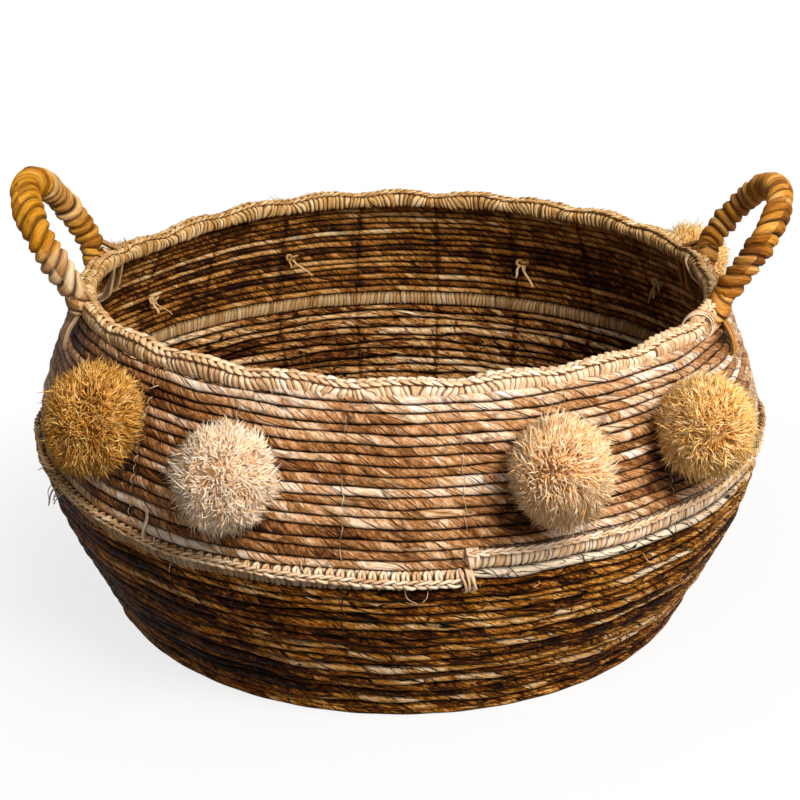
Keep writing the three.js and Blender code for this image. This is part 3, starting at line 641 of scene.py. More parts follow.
def rope_tone_and_shade(turns, run, arc, angle, seed, lower, pale_row):
    """Tone drifts from row to row, and the top rows are paler. Outside, painted shade darkens the
    left and painted light makes the upper wall paler, most on the right. Painted shade darkens the
    rows in the hollow under the front feet, and painted shadow lies left of and below each pompom.
    One long pale leaf runs under the band, right of its seam. Painted shade darkens the rows in the
    grooves at each line of stitches, more so inside."""
    pale = (0.2 * wander(run, 0.16, seed + 5) + 0.18 * wander(run, 0.05, seed + 6)
            + 0.06 * eased(4.5, 7.5, turns))
    azimuth = wrapped(coil_azimuth(turns))
    outside = cos(angle) > 0
    # Painted shade on the left outside, painted light on the upper wall outside, most on the right.
    pale = pale - outside * (0.17 if lower else 0.1) * eased(15, 60, 75 - np.abs(azimuth + 65))
    right = eased(25, 60, azimuth) * (1 - eased(90, 120, azimuth))
    pale = pale + outside * (not lower) * (0.04 + 0.08 * right)
    # Painted shade in the grooves that the threads pull in at each line of stitches, more so
    # inside.
    beside_line = (azimuth - SEAM + LINE_STEP / 2) % LINE_STEP - LINE_STEP / 2
    pull = clip(0.6 + 0.5 * wander(run, 0.06, seed + 7), 0, 1)
    pale = pale - np.where(outside, 0.12, 0.36) * pull * exp(-(beside_line / 0.45) ** 2)
    # Painted shade in the hollow under the front feet.
    hollow = exp(-((np.abs(azimuth) - 67) / 4) ** 2) * eased(0.172, 0.19, arc)
    pale = pale - 0.5 * hollow * outside
    # Painted shadow left of and below each pompom.
    for middle, height, _ in POMPOMS.values():
        beside = radians(azimuth - middle) * 0.2 + 0.009
        below = arc - pompom_seat(height) + 0.016
        pale = pale - 0.4 * outside * exp(-(beside / 0.019) ** 2 - (below / 0.015) ** 2)
    return pale + 0.55 * eased(-0.45, -0.3, turns) * pale_row


def twist_uv(run, sides, slip=0):
    """UV of twisted rope: folds along it, slanted by two for one way round, and metres round it."""
    rounds = linspace(0, 1, sides + 1)[None, :]
    return run / FOLD - 2 * rounds + slip, ROPE_ROUND * rounds


def rope(name, first, last, strand_side, material, slot, replaced):
    """Twisted rope up the wall: an oval tube between its two edges, whose two plies turn with the
    twist. Each ply swells between the folds, and every fold is cut to its own depth."""
    lower = first < 0
    count, sides = int((last - first) * COIL_RUN / ROPE_STEP), 12
    turns = linspace(first, last, count)[:, None]
    angle = around(sides, -pi / 2)
    radius = np.interp(rope_arc(turns, strand_side), ARCS, OUTLINE[:, 0])
    run = np.cumsum(np.full_like(turns, (last - first) / (count - 1)) * 2 * pi * radius, axis=0)
    run += 6 * (strand_side + 1) + 24 * (not lower)
    seed = 31 + strand_side + 10 * (not lower)
    slip = 0.5 * wander(run, 0.019, seed)
    lay = run / FOLD - 2 * (angle + pi / 2) / (2 * pi) + slip
    cut = picked(np.round(lay).astype(int), -0.04, 0.15, seed, 65536)
    size = 1.02 - maximum(cut, 0.02) * np.abs(2 * (lay % 1) - 1) ** 5
    size = (size + 0.035 * cos(2 * angle - 2 * pi * run / (2 * FOLD))
            + 0.03 * wander(run, 0.012, seed + 1))
    by_band, far = (last - turns, turns - first) if lower else (turns - first, last - turns)
    size *= ((0.8 + 0.2 * eased(0, 0.003, by_band * COIL_RUN))
             * (0.3 + 0.7 * eased(0, 0.05, far * COIL_RUN)))
    low, high = row_edges(turns, strand_side)
    half = (high - low) / 2
    out = (rope_depth(half) * size * cos(angle) - WALL_THICKNESS / 2
           + 0.0005 * wander(run, 0.05, seed + 3))
    arc = (low + high) / 2 + (1.05 * half + 0.0001) * size * sin(angle)
    points = wall(arc, out, coil_azimuth(turns))
    points[..., 2] = maximum(points[..., 2], 0.0002)
    pale = rope_tone_and_shade(turns, run, arc.mean(axis=1, keepdims=True), angle, seed, lower,
                     lower and strand_side > 0)
    put(name, skin(points, *twist_uv(run, sides, slip)), material, slot, replaced, pale=pale)


for letter, strand_side in (("a", -1), ("b", 1)):
    rope(f"lower_rope_{letter}", turns_at(0.0018, strand_side), 0.0016, strand_side, lower_leaf,
         "dark_leaf_rope", [f"lower_wall_rope_{letter}"])
    top_arc = np.interp(0.1865, OUTLINE[:, 1], ARCS)
    rope(f"upper_rope_{letter}", 0.9984, turns_at(top_arc, strand_side), strand_side, upper_leaf,
         "leaf_rope", [f"upper_wall_rope_{letter}"])


def base_spiral():
    """Flat spiral of rope under the basket: the radius grows by one rope's width each turn and
    then keeps to the outer edge for a last turn; the rope is pressed flat on the floor side."""
    width, half, sides = 0.00545, 0.0028, 10
    outer = BASE_RADIUS - width / 2
    turn = np.sqrt(linspace(0.0005, 1, 5400))[:, None] * (outer / width + 1.4)
    angle = around(sides, -pi / 2)
    middle = clip(width * (turn - 0.35), 0.0002, outer)
    run = np.cumsum(np.gradient(turn, axis=0) * 2 * pi * middle, axis=0)
    size = 1 + 0.05 * wander(run, 0.03, 41) + 0.04 * cos(2 * angle - 2 * pi * run / 0.027)
    height = clip(BASE_THICKNESS / 2 + half * size * sin(angle), 0, BASE_THICKNESS + 0.0003)
    points = turned(middle + half * size * cos(angle), coil_azimuth(turn), height)
    put("base_spiral", skin(points, *twist_uv(run, sides)), lower_leaf, "dark_leaf_rope",
        ["base_coil"])


base_spiral()


# Raffia binding: helical wraps round a rope, and a chain stitch lying on it

def wraps(phase, seed):
    """Height of wound strips across a rope: each strip is a rounded ridge, a little higher or
    lower than the next, with the phase counting strips."""
    whole = np.floor(phase).astype(int)
    return picked(whole, 0.55, 1.2, seed) * (1 - np.abs(2 * (phase - whole) - 1) ** 2.6)


def between_wraps(phase, narrow, seed):
    """Where two wraps meet, and a random number for each such place."""
    random = np.random.default_rng(seed).random(4096)[np.round(phase).astype(int) % 4096]
    return np.abs(2 * (phase % 1) - 1) > narrow, random


def bleached_and_lit(azimuth):
    """How pale the raffia is, from tan to cream: a bell of azimuth, full at the front. Partly the
    raffia's own bleaching, partly painted light on the front and painted shade towards the back.
    """
    return 0.12 + 0.88 * (0.5 + 0.5 * cos(radians(azimuth - 14))) ** 4


def chain_lift(turns):
    """Chain's place on the band, up from its middle: by the middle at the start, near the upper
    edge further round."""
    return 0.0003 + 0.0034 * eased(0, 0.12, turns) + 0.0002 * eased(0.7, 0.95, turns)


def belly_band():
    """One turn of the pair of ropes, bound: a rounded upright section carried along the coil,
    raised by its wraps, which hang a little over the next row at the front left. Its ends run a
    little past the seam, under the tie. Painted shade darkens it under the chain, between the
    uprights left of the seam and below them, in gaps between some wraps and on its inner face,
    which is also given less pale raffia: painted shade."""
    sides, wrap_width = 18, 0.0030
    turns = linspace(-0.0012, 1.0012, 2900)[:, None]
    angle = around(sides, -pi / 2)
    run = turns * BAND_RUN
    uneven = 0.6 * wander(run + 1, 0.006, 51)

    def lean(angle):
        return 0.45 * wander(run + 1, 0.014, 54) * sin(angle)

    phase = run / wrap_width + uneven + lean(angle) + angle / (2 * pi)
    ridge = 0.0008 * wraps(phase, 52)
    squeeze = 0.45 + 0.55 * eased(-0.0016, 0.003, np.minimum(turns, 1 - turns) * 1.347)
    outside = cos(angle) > 0
    out = squeeze * (0.0031 + ridge) * squarish(cos(angle)) - WALL_THICKNESS / 2
    up = squeeze * (pair_pitch(turns) / 2 - 0.0007 + ridge) * squarish(sin(angle))
    hang = eased(0.02, 0.07, turns) * (1 - eased(0.2, 0.3, turns)) * outside
    up = np.where(sin(angle) < 0, up * (1 + 0.6 * hang), up)
    out = out - 0.0012 * hang * maximum(-sin(angle), 0)
    points = wall(coil_arc(turns) + up, out + 0.0003 * wander(run + 1, 0.05, 53),
                  coil_azimuth(turns))
    turn = linspace(0, 1, sides + 1)[None, :] - 0.25
    uv = run / wrap_width + uneven + lean(2 * pi * turn) + turn
    # Painted shade under the chain, between and below the uprights left of the seam, in gaps
    # between wraps and on the inner face.
    off_chain = up - chain_lift(turns)
    left = 1 - eased(0.18, 0.21, turns)
    dark = maximum(0.75 * (1 - eased(0.0008, 0.0024, np.abs(off_chain))), left * np.where(
        off_chain > 0, 0.75 * (1 - eased(0.0030, 0.0040, off_chain)), 0.5))
    split, random = between_wraps(phase, 0.72, 57)
    split = split * (random > 0.55)
    dark = maximum(dark, 0.8 * split * (off_chain < -0.0006))
    inside = 0.25 + 0.5 * eased(0.55, 0.9, np.abs(sin(angle))) + 0.3 * split
    put("belly_band", skin(points, uv + 600, (turn + 1) * 0.034), raffia,
        replaced=["belly_band_rope"], covered=np.where(outside, dark, inside),
        bleach=np.where(outside, bleached_and_lit(coil_azimuth(turns)), 0.2))


def rim_binding():
    """The last turn, bound: a rounded box section carried round the mouth, raised by its wraps and
    drawn down over the top row. Painted shade darkens it under the chain and along its lower edge,
    and in holes between the wraps, more of them on the inner side, which is also less pale: painted
    shade."""
    rings, sides = RIM_STRIPS * 8, 20
    azimuth = (SEAM + 360 * np.arange(rings) / rings)[:, None]
    azimuth_uv = np.append(azimuth, azimuth[:1] + 360, axis=0)
    angle = around(sides, -pi / 2)

    def phase_at(azimuth, angle):
        place = azimuth % 360 * pi / 180 * RIM_MIDDLE_RADIUS
        fan = 0.5 * sin(radians(STITCH_LINES * (azimuth - SEAM))) + 0.6 * wander(place, 0.011, 64)
        return (azimuth * RIM_STRIPS / 360 + 0.55 * wander(place, 0.0065, 63) + fan * sin(angle)
                + angle / (2 * pi))

    phase = phase_at(azimuth, angle)
    ridge = 0.0011 * wraps(phase % RIM_STRIPS, 61)
    out = (RIM_HALF_WIDTH - 0.0004 + ridge) * squarish(cos(angle))
    up = ((RIM_HALF_HEIGHT - 0.0002 + ridge) * squarish(sin(angle))
          * np.where(sin(angle) < 0, 1.5, 1))
    turn = linspace(0, 1, sides + 1)[None, :] - 0.25
    uv = phase_at(azimuth_uv - 1e-7, 2 * pi * turn)
    # Painted shade under the chain, along the lower edge and in holes between the wraps.
    covered = maximum(0.5 * (1 - eased(0.35, 0.65, np.abs(angle - CHAIN_SEAT))),
                      0.8 * eased(0.75, 0.95, -sin(angle)))
    split, random = between_wraps(phase, 0.6, 67)
    holes = split * (random > np.where(cos(angle) < 0, 0.45, 0.85))
    put("rim_binding", skin(rim(azimuth, out, up), uv + 20, (turn + 1) * 0.03, looped=True), raffia,
        replaced=["rim_bound_rope"], covered=maximum(covered, 0.75 * holes),
        bleach=bleached_and_lit(azimuth) * np.where(cos(angle) < -0.3, 0.7, 1))


def tubes(x, y, z, half_wide, half_thick, place, sides):
    """Many short strands at once: for each row of places along, across and up, a flat oval ring
    at each step, across the strand. place(x, y, z) puts the metres onto the rope."""
    ring = around(sides)[0]
    dx, dy = np.gradient(x, axis=1), np.gradient(y, axis=1)
    size = np.hypot(dx, dy) + 1e-9
    points = place(x[..., None] + half_wide * cos(ring) * (-dy / size)[..., None],
                   y[..., None] + half_wide * cos(ring) * (dx / size)[..., None],
                   z[..., None] + half_thick * sin(ring))
    run = linspace(0, 0.0011 * x.shape[1], x.shape[1])[:, None]
    return joined([skin(one, edge_count(k, sides) + 0 * run, run + 0.05 * k)
                   for k, one in enumerate(points)])


def chain(name, count, pitch, width, leg_half, place, azimuth_at, replaced):
    """Chain stitch: a row of V's, each of two fat legs that start at the middle line over the V
    before, swell and lean out, and tuck under the V after. Along a leg t runs from 0 to 1: it leans
    out by width/4 (0.25 + 0.85 ease t - 0.2 t^4) and sinks with t squared."""
    steps, sides = 8, 6
    rng = np.random.default_rng(71)
    t = linspace(0, 1, steps)[None, :]
    start = np.repeat(pitch * np.arange(count), 2)[:, None]
    leg = np.tile([-1.0, 1.0], count)[:, None]

    def vary(share):
        return 1 + share * rng.uniform(-1, 1, (2 * count, 1))

    x = start + pitch * (1.55 * vary(0.1) * t + 0.1 * leg)
    y = leg * width(start) * vary(0.15) / 4 * (0.25 + 0.85 * eased(0, 0.7, t) - 0.2 * t ** 4)
    z = 0.0016 * vary(0.3) * (1 - 1.1 * t ** 2) - 0.0016 * (1 - eased(0, 0.2, t))
    fat = leg_half * vary(0.15) * (0.5 + 0.5 * sin(pi * t ** 0.8) ** 0.7)
    put(name, tubes(x, y, z, fat[..., None], 0.0010, place, sides), raffia, replaced=replaced,
        bleach=bleached_and_lit(azimuth_at(np.repeat(start.ravel(), steps * sides))))


def on_band(x, y, z):
    """Place on the band's face, from the chain's own line."""
    turns = 1 - x / BAND_RUN
    return wall(coil_arc(turns) + chain_lift(turns) + y, 0.0017 + z, coil_azimuth(turns))


def rim_azimuth(x):
    return SEAM + np.degrees(x / RIM_MIDDLE_RADIUS)


def on_rim(x, y, z):
    """Place on the rim's upper, outer shoulder, where the chain lies."""
    angle = CHAIN_SEAT - y / 0.0048
    return rim(rim_azimuth(x), (RIM_HALF_WIDTH + 0.0008 + z) * squarish(cos(angle)),
               (RIM_HALF_HEIGHT + 0.0008 + z) * squarish(sin(angle)))


def band_uprights():
    """Uprights of the band's stitches left of the seam: each is two legs side by side that leave
    the chain and meet over the band's upper edge: x = -spread cos(t)^0.5, y = rise sin(t)^0.5."""
    count, steps, sides = 54, 12, 5
    turns = (np.arange(count) + 0.6) / BAND_LINKS
    rng = np.random.default_rng(83)
    t = linspace(0.04, pi - 0.04, steps)[None, :]

    def vary(most):
        return rng.uniform(-most, most, (count, 1))

    start = BAND_RUN * (1 - turns)[:, None] + vary(0.0003)
    x = start - 0.00115 * squarish(cos(t), 0.5) + 0.0006 * wander(start, 0.006, 84) * sin(t)
    y = (0.0055 - chain_lift(turns))[:, None] * sin(t) ** 0.5 + vary(0.0002)
    z = 0.0006 - 0.0022 * sin(t) ** 6 + vary(0.0002)
    put("belly_band_uprights", tubes(x, y, z, 0.0011, 0.0008, on_band, sides), raffia,
        bleach=0.85 * bleached_and_lit(coil_azimuth(np.repeat(turns, steps * sides))))


belly_band()
rim_binding()
chain("belly_band_chain", BAND_LINKS, BAND_RUN / (BAND_LINKS + 0.8),
      lambda x: 0.0042 + 0.0016 * eased(0.6, 0.9, x / BAND_RUN), 0.0009, on_band,
      lambda x: coil_azimuth(1 - x / BAND_RUN), ["belly_band_chain_stitch"])
chain("rim_chain", RIM_LINKS, 2 * math.pi * RIM_MIDDLE_RADIUS / RIM_LINKS, lambda x: 0.0064, 0.0012,
      on_rim, rim_azimuth, ["rim_chain_stitch"])
band_uprights()


# Loose raffia: the tie over the seam, a ring round the rim, tails and hairs

def wall_strand(stops, half_wide, half_thick, number, **more):
    """Strand along stops on the wall: azimuth, arc length and distance off its outer face."""
    azimuth, arc, out = spline(stops, 22).T
    face = turned(1.0, azimuth.mean(), 0.0)
    return strand(wall(arc, out, azimuth), half_wide, half_thick, face, number, **more)


def seam_tie():
    """Loops that tie the band's end down, and a fanned stitch where its upper end starts."""
    parts = []
    for k, (high, low) in enumerate(((-0.9, -0.2), (-0.1, 0.15), (0.55, 0.75), (0.2, 1.05))):
        parts.append(wall_strand([
            (SEAM + high, 0.1138, -0.0025), (SEAM + high + 0.05, 0.1128, 0.0026),
            (SEAM + 0.6 * high + 0.4 * low + 0.15, 0.1092, 0.0040 + 0.0003 * k),
            (SEAM + low + 0.1, 0.1048, 0.0038), (SEAM + low - 0.05, 0.1018 + 0.0006 * k, 0.0020),
            (SEAM + low - 0.2, 0.1008, -0.0025)], 0.0008, 0.0007, 900 + k))
    for k in (-1.5, -0.5, 0.5, 1.5):
        low, high = SEAM + 0.9 + 0.24 * k, SEAM + 0.8 + 0.42 * k
        parts.append(wall_strand([
            (low, 0.1136, -0.002), (low, 0.1152, 0.0022), ((low + high) / 2, 0.1190, 0.0030),
            (high, 0.1226, 0.0022), (high, 0.1240, -0.002)], 0.0011, 0.0007, 910 + k * 2))
    put("seam_tie", joined(parts), raffia, bleach=0.95)


def loose_raffia():
    """Tails left by the ends of raffia, a ring of it round the rim before the right handle, and
    short hairs pulled out of the wraps."""
    rng = np.random.default_rng(91)
    parts = [wall_strand(*tail) for tail in (
        ([(-36.2, 0.1110, 0.001), (-36.4, 0.1150, 0.0042), (-36.0, 0.1200, 0.0052),
          (-35.6, 0.1255, 0.0045), (-35.4, 0.1295, 0.0060)],
         linspace(0.0007, 0.0013, 22), 0.0004, 920),
        ([(-34.6, 0.1120, 0.001), (-34.1, 0.1155, 0.0050), (-33.4, 0.1195, 0.0078)],
         0.0007, 0.0003, 921),
        ([(100.5, 0.2080, -0.0060), (98.5, 0.2060, -0.0105), (95.5, 0.2000, -0.0115),
          (93.0, 0.1950, -0.0090)], 0.0013, 0.0005, 922))]
    for k in range(6):
        start, fall = -62.5 + 0.8 * k + rng.uniform(-0.3, 0.3), rng.uniform(0.006, 0.012)
        parts.append(wall_strand([
            (start, 0.1080, 0.000), (start - 0.4, 0.1080 - 0.4 * fall, 0.0045),
            (start - rng.uniform(0, 1.5), 0.1080 - fall, rng.uniform(0.004, 0.0085))],
            0.0004, 0.0002, 930 + k))
    for k in range(3):
        t = linspace(0.4, 2 * pi + 0.2, 34)
        ring = rim(60.6 + 0.62 * k + 0.9 * cos(t - 0.6), (0.0079 + 0.0002 * k) * cos(t),
                   -0.0010 + 0.0082 * sin(t))
        parts.append(strand(ring, 0.0008, 0.0005, turned(1.0, 61, 0.0) + [0, 0, 0.4], 940 + k))
    hairs = [(0.6, 0.1040, 1.6, -0.0065), (3.6, 0.1035, -0.7, -0.0050)] + [
        (rng.uniform(-180, 180), base + rng.uniform(-0.001, 0.001), rng.uniform(-1.6, 1.6),
         rng.uniform(-0.006, 0.005)) for base in (0.1035, 0.1175, 0.188) for _ in range(6)]
    for k, (azimuth, arc, sideways, up) in enumerate(hairs):
        parts.append(wall_strand([
            (azimuth, arc, 0.001), (azimuth + 0.25 * sideways, arc + 0.5 * up, 0.0032),
            (azimuth + sideways, arc + up, rng.uniform(0.003, 0.006))],
            0.00026, 0.00016, 950 + k, sides=4))
    put("loose_raffia", joined(parts), raffia, bleach=0.75)


def sewing_threads():
    """Thin thread on each of the 22 upright lines of stitches: where it isn't pulled into the
    rope, a stretch follows a row's round face from one gap to the next, outside and inside.
    Painted shade makes it dark inside and on the lower wall."""
    rng = np.random.default_rng(77)
    parts, shaded = [], []
    t = linspace(-1.25, 1.25, 8)
    bulge = np.sqrt(clip(1 - t * t, 0, 1))
    for line in range(STITCH_LINES):
        azimuth = SEAM + line * LINE_STEP
        turns = (SEAM - azimuth) / 360 % 1 + np.arange(-12, 12)
        for turn, low, high in (row for strand_side in (-1, 1)
                                for row in zip(turns, *row_edges(turns, strand_side))):
            if low < 0.009 or high > ARCS[-1] - 0.002 or 0 <= turn <= 1:
                continue
            for side in (1, -1):
                if rng.random() > (0.4 if turn < 0 else 0.7):
                    continue
                half = (high - low) / 2
                depth = rope_depth(half) * (0.12 + 0.96 * bulge)
                out = -WALL_THICKNESS / 2 + side * (0.0001 + depth)
                drift = azimuth + rng.uniform(-0.16, 0.16) + rng.uniform(-0.2, 0.2) * t
                face = turned(side, azimuth, 0.0)
                path = wall((low + high) / 2 + half * t, out, drift)
                parts.append(strand(path, 0.00029, 0.00022, face, len(parts), sides=4))
                # Painted shade: dark inside and on the lower wall.
                dark = 0.92 if side < 0 or turn < 0 else 0.0
                shaded.append(np.full(len(parts[-1][0]), dark))
    put("sewing_threads", joined(parts), thread, covered=np.concatenate(shaded))


seam_tie()
loose_raffia()
sewing_threads()


# Pompoms and their knots

def wall_axes(azimuth, arc):
    """A place on the wall, and its outward, sideways and up-the-wall directions."""
    here, sideways = wall(arc, 0.0, azimuth), outward_and_along(azimuth)[1]
    outward = unit(wall(arc, 0.001, azimuth) - here, 0)
    return here, outward, sideways, np.cross(outward, sideways)


def pompom(name, azimuth, height, tone, seed):
    """Ball of cut raffia: strands leave the knot in all open directions, sway sideways more and
    more towards their frayed ends, partly in tufts, and lie over where they meet the wall. Each
    strand is a flat three-sided prism that ends in a point, made from where it shows; a rough
    core, dark with the material's painted shade, a ball pushed in and out by noise and cut off at
    the wall, closes it."""
    rng = np.random.default_rng(seed)
    here, outward, sideways, up = wall_axes(azimuth, pompom_seat(height))
    middle = here + outward * (POMPOM_STAND_OFF - POMPOM_SINK)
    count, rings, corners = POMPOM_STRANDS, 3, 3
    aim = unit(rng.normal(size=(6 * count, 3)), 0)
    aim = aim[aim @ outward > -0.72][:count]
    tuft = sin(aim @ rng.normal(0, 5, (3, 3)) + rng.uniform(0, 6, 3))
    tip = POMPOM_RADIUS * rng.uniform(0.78, 0.98, (count, 1)) * (1 + 0.04 * tuft[:, :1])
    tip *= 1 + 0.1 * (rng.random((count, 1)) > 0.95)
    share = linspace(0.6, 1, rings + 1)[None, :, None]
    sway = 0.85 * rng.normal(size=(count, 3)) + 0.9 * tuft
    sway -= (sway * aim).sum(1)[:, None] * aim
    bent = (share - 0.55) / 0.45
    path = share * tip[:, None, :] * aim[:, None] + 0.0046 * bent ** 1.5 * sway[:, None]
    curl = sin(4 * bent + rng.uniform(0, 6, (count, 1, 1))) * bent
    path += 0.0012 * curl * np.cross(aim, sway)[:, None]
    taller = (1.13 if tone == "golden" else 1.04) - 1
    path += ((path @ up)[..., None] * taller * up
             - (path @ sideways)[..., None] * 0.4 * taller * sideways)
    path = middle + path
    above = ((path - here) @ outward)[..., None]
    path += outward * maximum(0, 0.0012 + 0.002 * rng.random((count, 1, 1)) - above)
    tangent = np.gradient(path, axis=1)
    wide = unit(np.cross(tangent, rng.normal(size=(count, 3))[:, None]))
    thick = unit(np.cross(tangent, wide))
    half = rng.uniform(0.00026, 0.0006, (count, 1, 1)) * (1.3 - 0.4 * share)
    corner = np.array([(-1, -0.35), (1, -0.35), (0, 0.5)])
    ring = path[:, :, None] + half[..., None] * (corner[:, :1] * wide[:, :, None]
                                                 + corner[:, 1:] * thick[:, :, None])
    quad, last, point = quads_of(rings, corners), corners * (rings - 1), corners * rings
    ends = np.array([[2, 1, 0]] + [
        [last + k, last + (k + 1) % corners, point] for k in range(corners)])
    first = ring[0, 0]
    if np.cross(first[1] - first[0], first[2] - first[0]) @ tangent[0, 0] < 0:
        quad, ends = quad[:, ::-1], ends[:, ::-1]
    number = np.arange(count)[:, None]
    base = (number * (point + 1))[..., None]
    faces = np.concatenate([(base + quad).ravel(), (base + ends).ravel()])
    sizes = np.repeat([4, 3], [count * len(quad), count * len(ends)])
    points = np.concatenate([ring[:, :rings].reshape(count, -1, 3), path[:, rings:]], axis=1)
    across = np.concatenate([
        number + 0.1 + 0.3 * np.tile(np.arange(corners), rings), number + 0.4], axis=1)
    along = np.concatenate([tip * np.repeat(share[0, :rings, 0], corners), tip], axis=1)
    strands = (points.reshape(-1, 3), faces, sizes,
               np.stack([across, along], -1).reshape(-1, 2)[faces])
    rows, sides = 14, 24
    lat, lon = linspace(0.02, pi - 0.02, rows)[:, None], around(sides)
    size = POMPOM_CORE + 0.001 * rng.uniform(-1, 1, (rows, sides))
    ball = (middle + (size * sin(lat) * cos(lon))[..., None] * sideways
            + (size * sin(lat) * sin(lon))[..., None] * up + (size * cos(lat))[..., None] * outward)
    ball += outward * maximum(0, 0.0008 - ((ball - here) @ outward)[..., None])
    core = skin(ball, linspace(0, 20, sides + 1)[None, :] + 0 * lat, 0.016 + 0.001 * lat)
    put("pompom_ball_" + name, joined([strands, core]), cut_raffia[tone], "shredded_raffia",
        [f"pompom_{name}"])


def knot(name, azimuth, arc, seed):
    """Knot of raffia inside the wall: a strand round a small three-lobed loop, two tails, and a
    stem through the wall."""
    rng = np.random.default_rng(seed)
    here, outward, sideways, up = wall_axes(azimuth, arc)
    seat = here - outward * (WALL_THICKNESS + KNOT_STAND_OFF)
    t = linspace(0, 2 * pi, 44)[:, None]
    loop = (seat + 0.0017 * (sin(t) + 1.6 * sin(2 * t)) * sideways
            + 0.0017 * (cos(t) - 1.6 * cos(2 * t)) * up - 0.0011 * sin(3 * t) * outward)
    parts = [strand(loop, 0.0013, 0.0009, outward, 3 * seed)]
    s = linspace(0, 1, 14)[:, None]
    for k, way in enumerate((-1, 1)):
        lean, droop = rng.uniform(0.3, 1.0) * way, rng.uniform(-0.9, 0.5)
        tail = (seat + rng.uniform(0.011, 0.017) * s * (
            0.7 * lean * sideways + droop * 0.6 * up - 0.75 * outward)
            + 0.004 * s ** 2 * (-up) + 0.0012 * sin(5 * s) * sideways)
        parts.append(strand(tail, 0.0011, 0.0004, up, 3 * seed + 1 + k, taper=0.3))
    stem = np.array([here + outward * d for d in (0.012, 0.004, -0.003, -0.0075)])
    parts.append(strand(spline(stem, 10), 0.0011, 0.0009, up, 3 * seed + 2))
    # The knot, inside the basket, is darkened a little all over: painted shade.
    put("knot_" + name, joined(parts), raffia, replaced=[f"pompom_tie_{name}"], bleach=0.12,
        covered=0.12)


for seed, (name, (azimuth, height, tone)) in enumerate(POMPOMS.items(), 200):
    pompom(name, azimuth, height, tone, seed)
    knot(name, azimuth, pompom_seat(height), seed)


# Handles: arches wound with a broad leaf strip

widening = WIDEST_HALF_SPAN - FOOT_HALF_SPAN
half_arch = np.vstack([bezier([
    (FOOT_HALF_SPAN, 0), (FOOT_HALF_SPAN + 2 / 3 * widening, 0.8 / 3 * WIDEST_HEIGHT),
    (WIDEST_HALF_SPAN, 1.8 / 3 * WIDEST_HEIGHT), (WIDEST_HALF_SPAN, WIDEST_HEIGHT)]), bezier([
        (WIDEST_HALF_SPAN, WIDEST_HEIGHT),
        (WIDEST_HALF_SPAN, WIDEST_HEIGHT + CROWN_PULL * (HANDLE_HEIGHT - WIDEST_HEIGHT)),
        (CROWN_PULL * WIDEST_HALF_SPAN, HANDLE_HEIGHT), (0, HANDLE_HEIGHT)])[1:]])
ARCH = np.vstack([half_arch, (half_arch * [-1, 1])[::-1][1:]])
# A little past each foot, so that the winding closes round it like a ball on the hinge line
before, after = (ARCH[end] + FOOT_BALL * (ARCH[end] - ARCH[near])
                 / np.linalg.norm(ARCH[end] - ARCH[near]) for end, near in ((0, 1), (-1, -2)))
ARCH, ARCH_RUN, ARCH_SLOPE = measured(np.vstack([before, ARCH, after]))


def handle_axes(side):
    """Hinge line's middle, the direction along it, the arch's upward lean and its face."""
    outward, along = outward_and_along(HANDLE_AZIMUTH if side == "right" else -HANDLE_AZIMUTH)
    lean = math.radians(HANDLE_LEAN[side])
    up = outward * math.sin(lean) + np.array([0, 0, math.cos(lean)])
    reach = math.sqrt(FOOT_CIRCLE_RADIUS ** 2 - FOOT_HALF_SPAN ** 2)
    return outward * reach + np.array([0, 0, HINGE_HEIGHT]), along, up, np.cross(along, up)


def wound_uv(strip, angle):
    """UV of a wound strip: the strips counted, and metres along the strip."""
    return strip, (np.floor(strip) + angle / (2 * pi)) * LEAF_RUN_PER_TURN


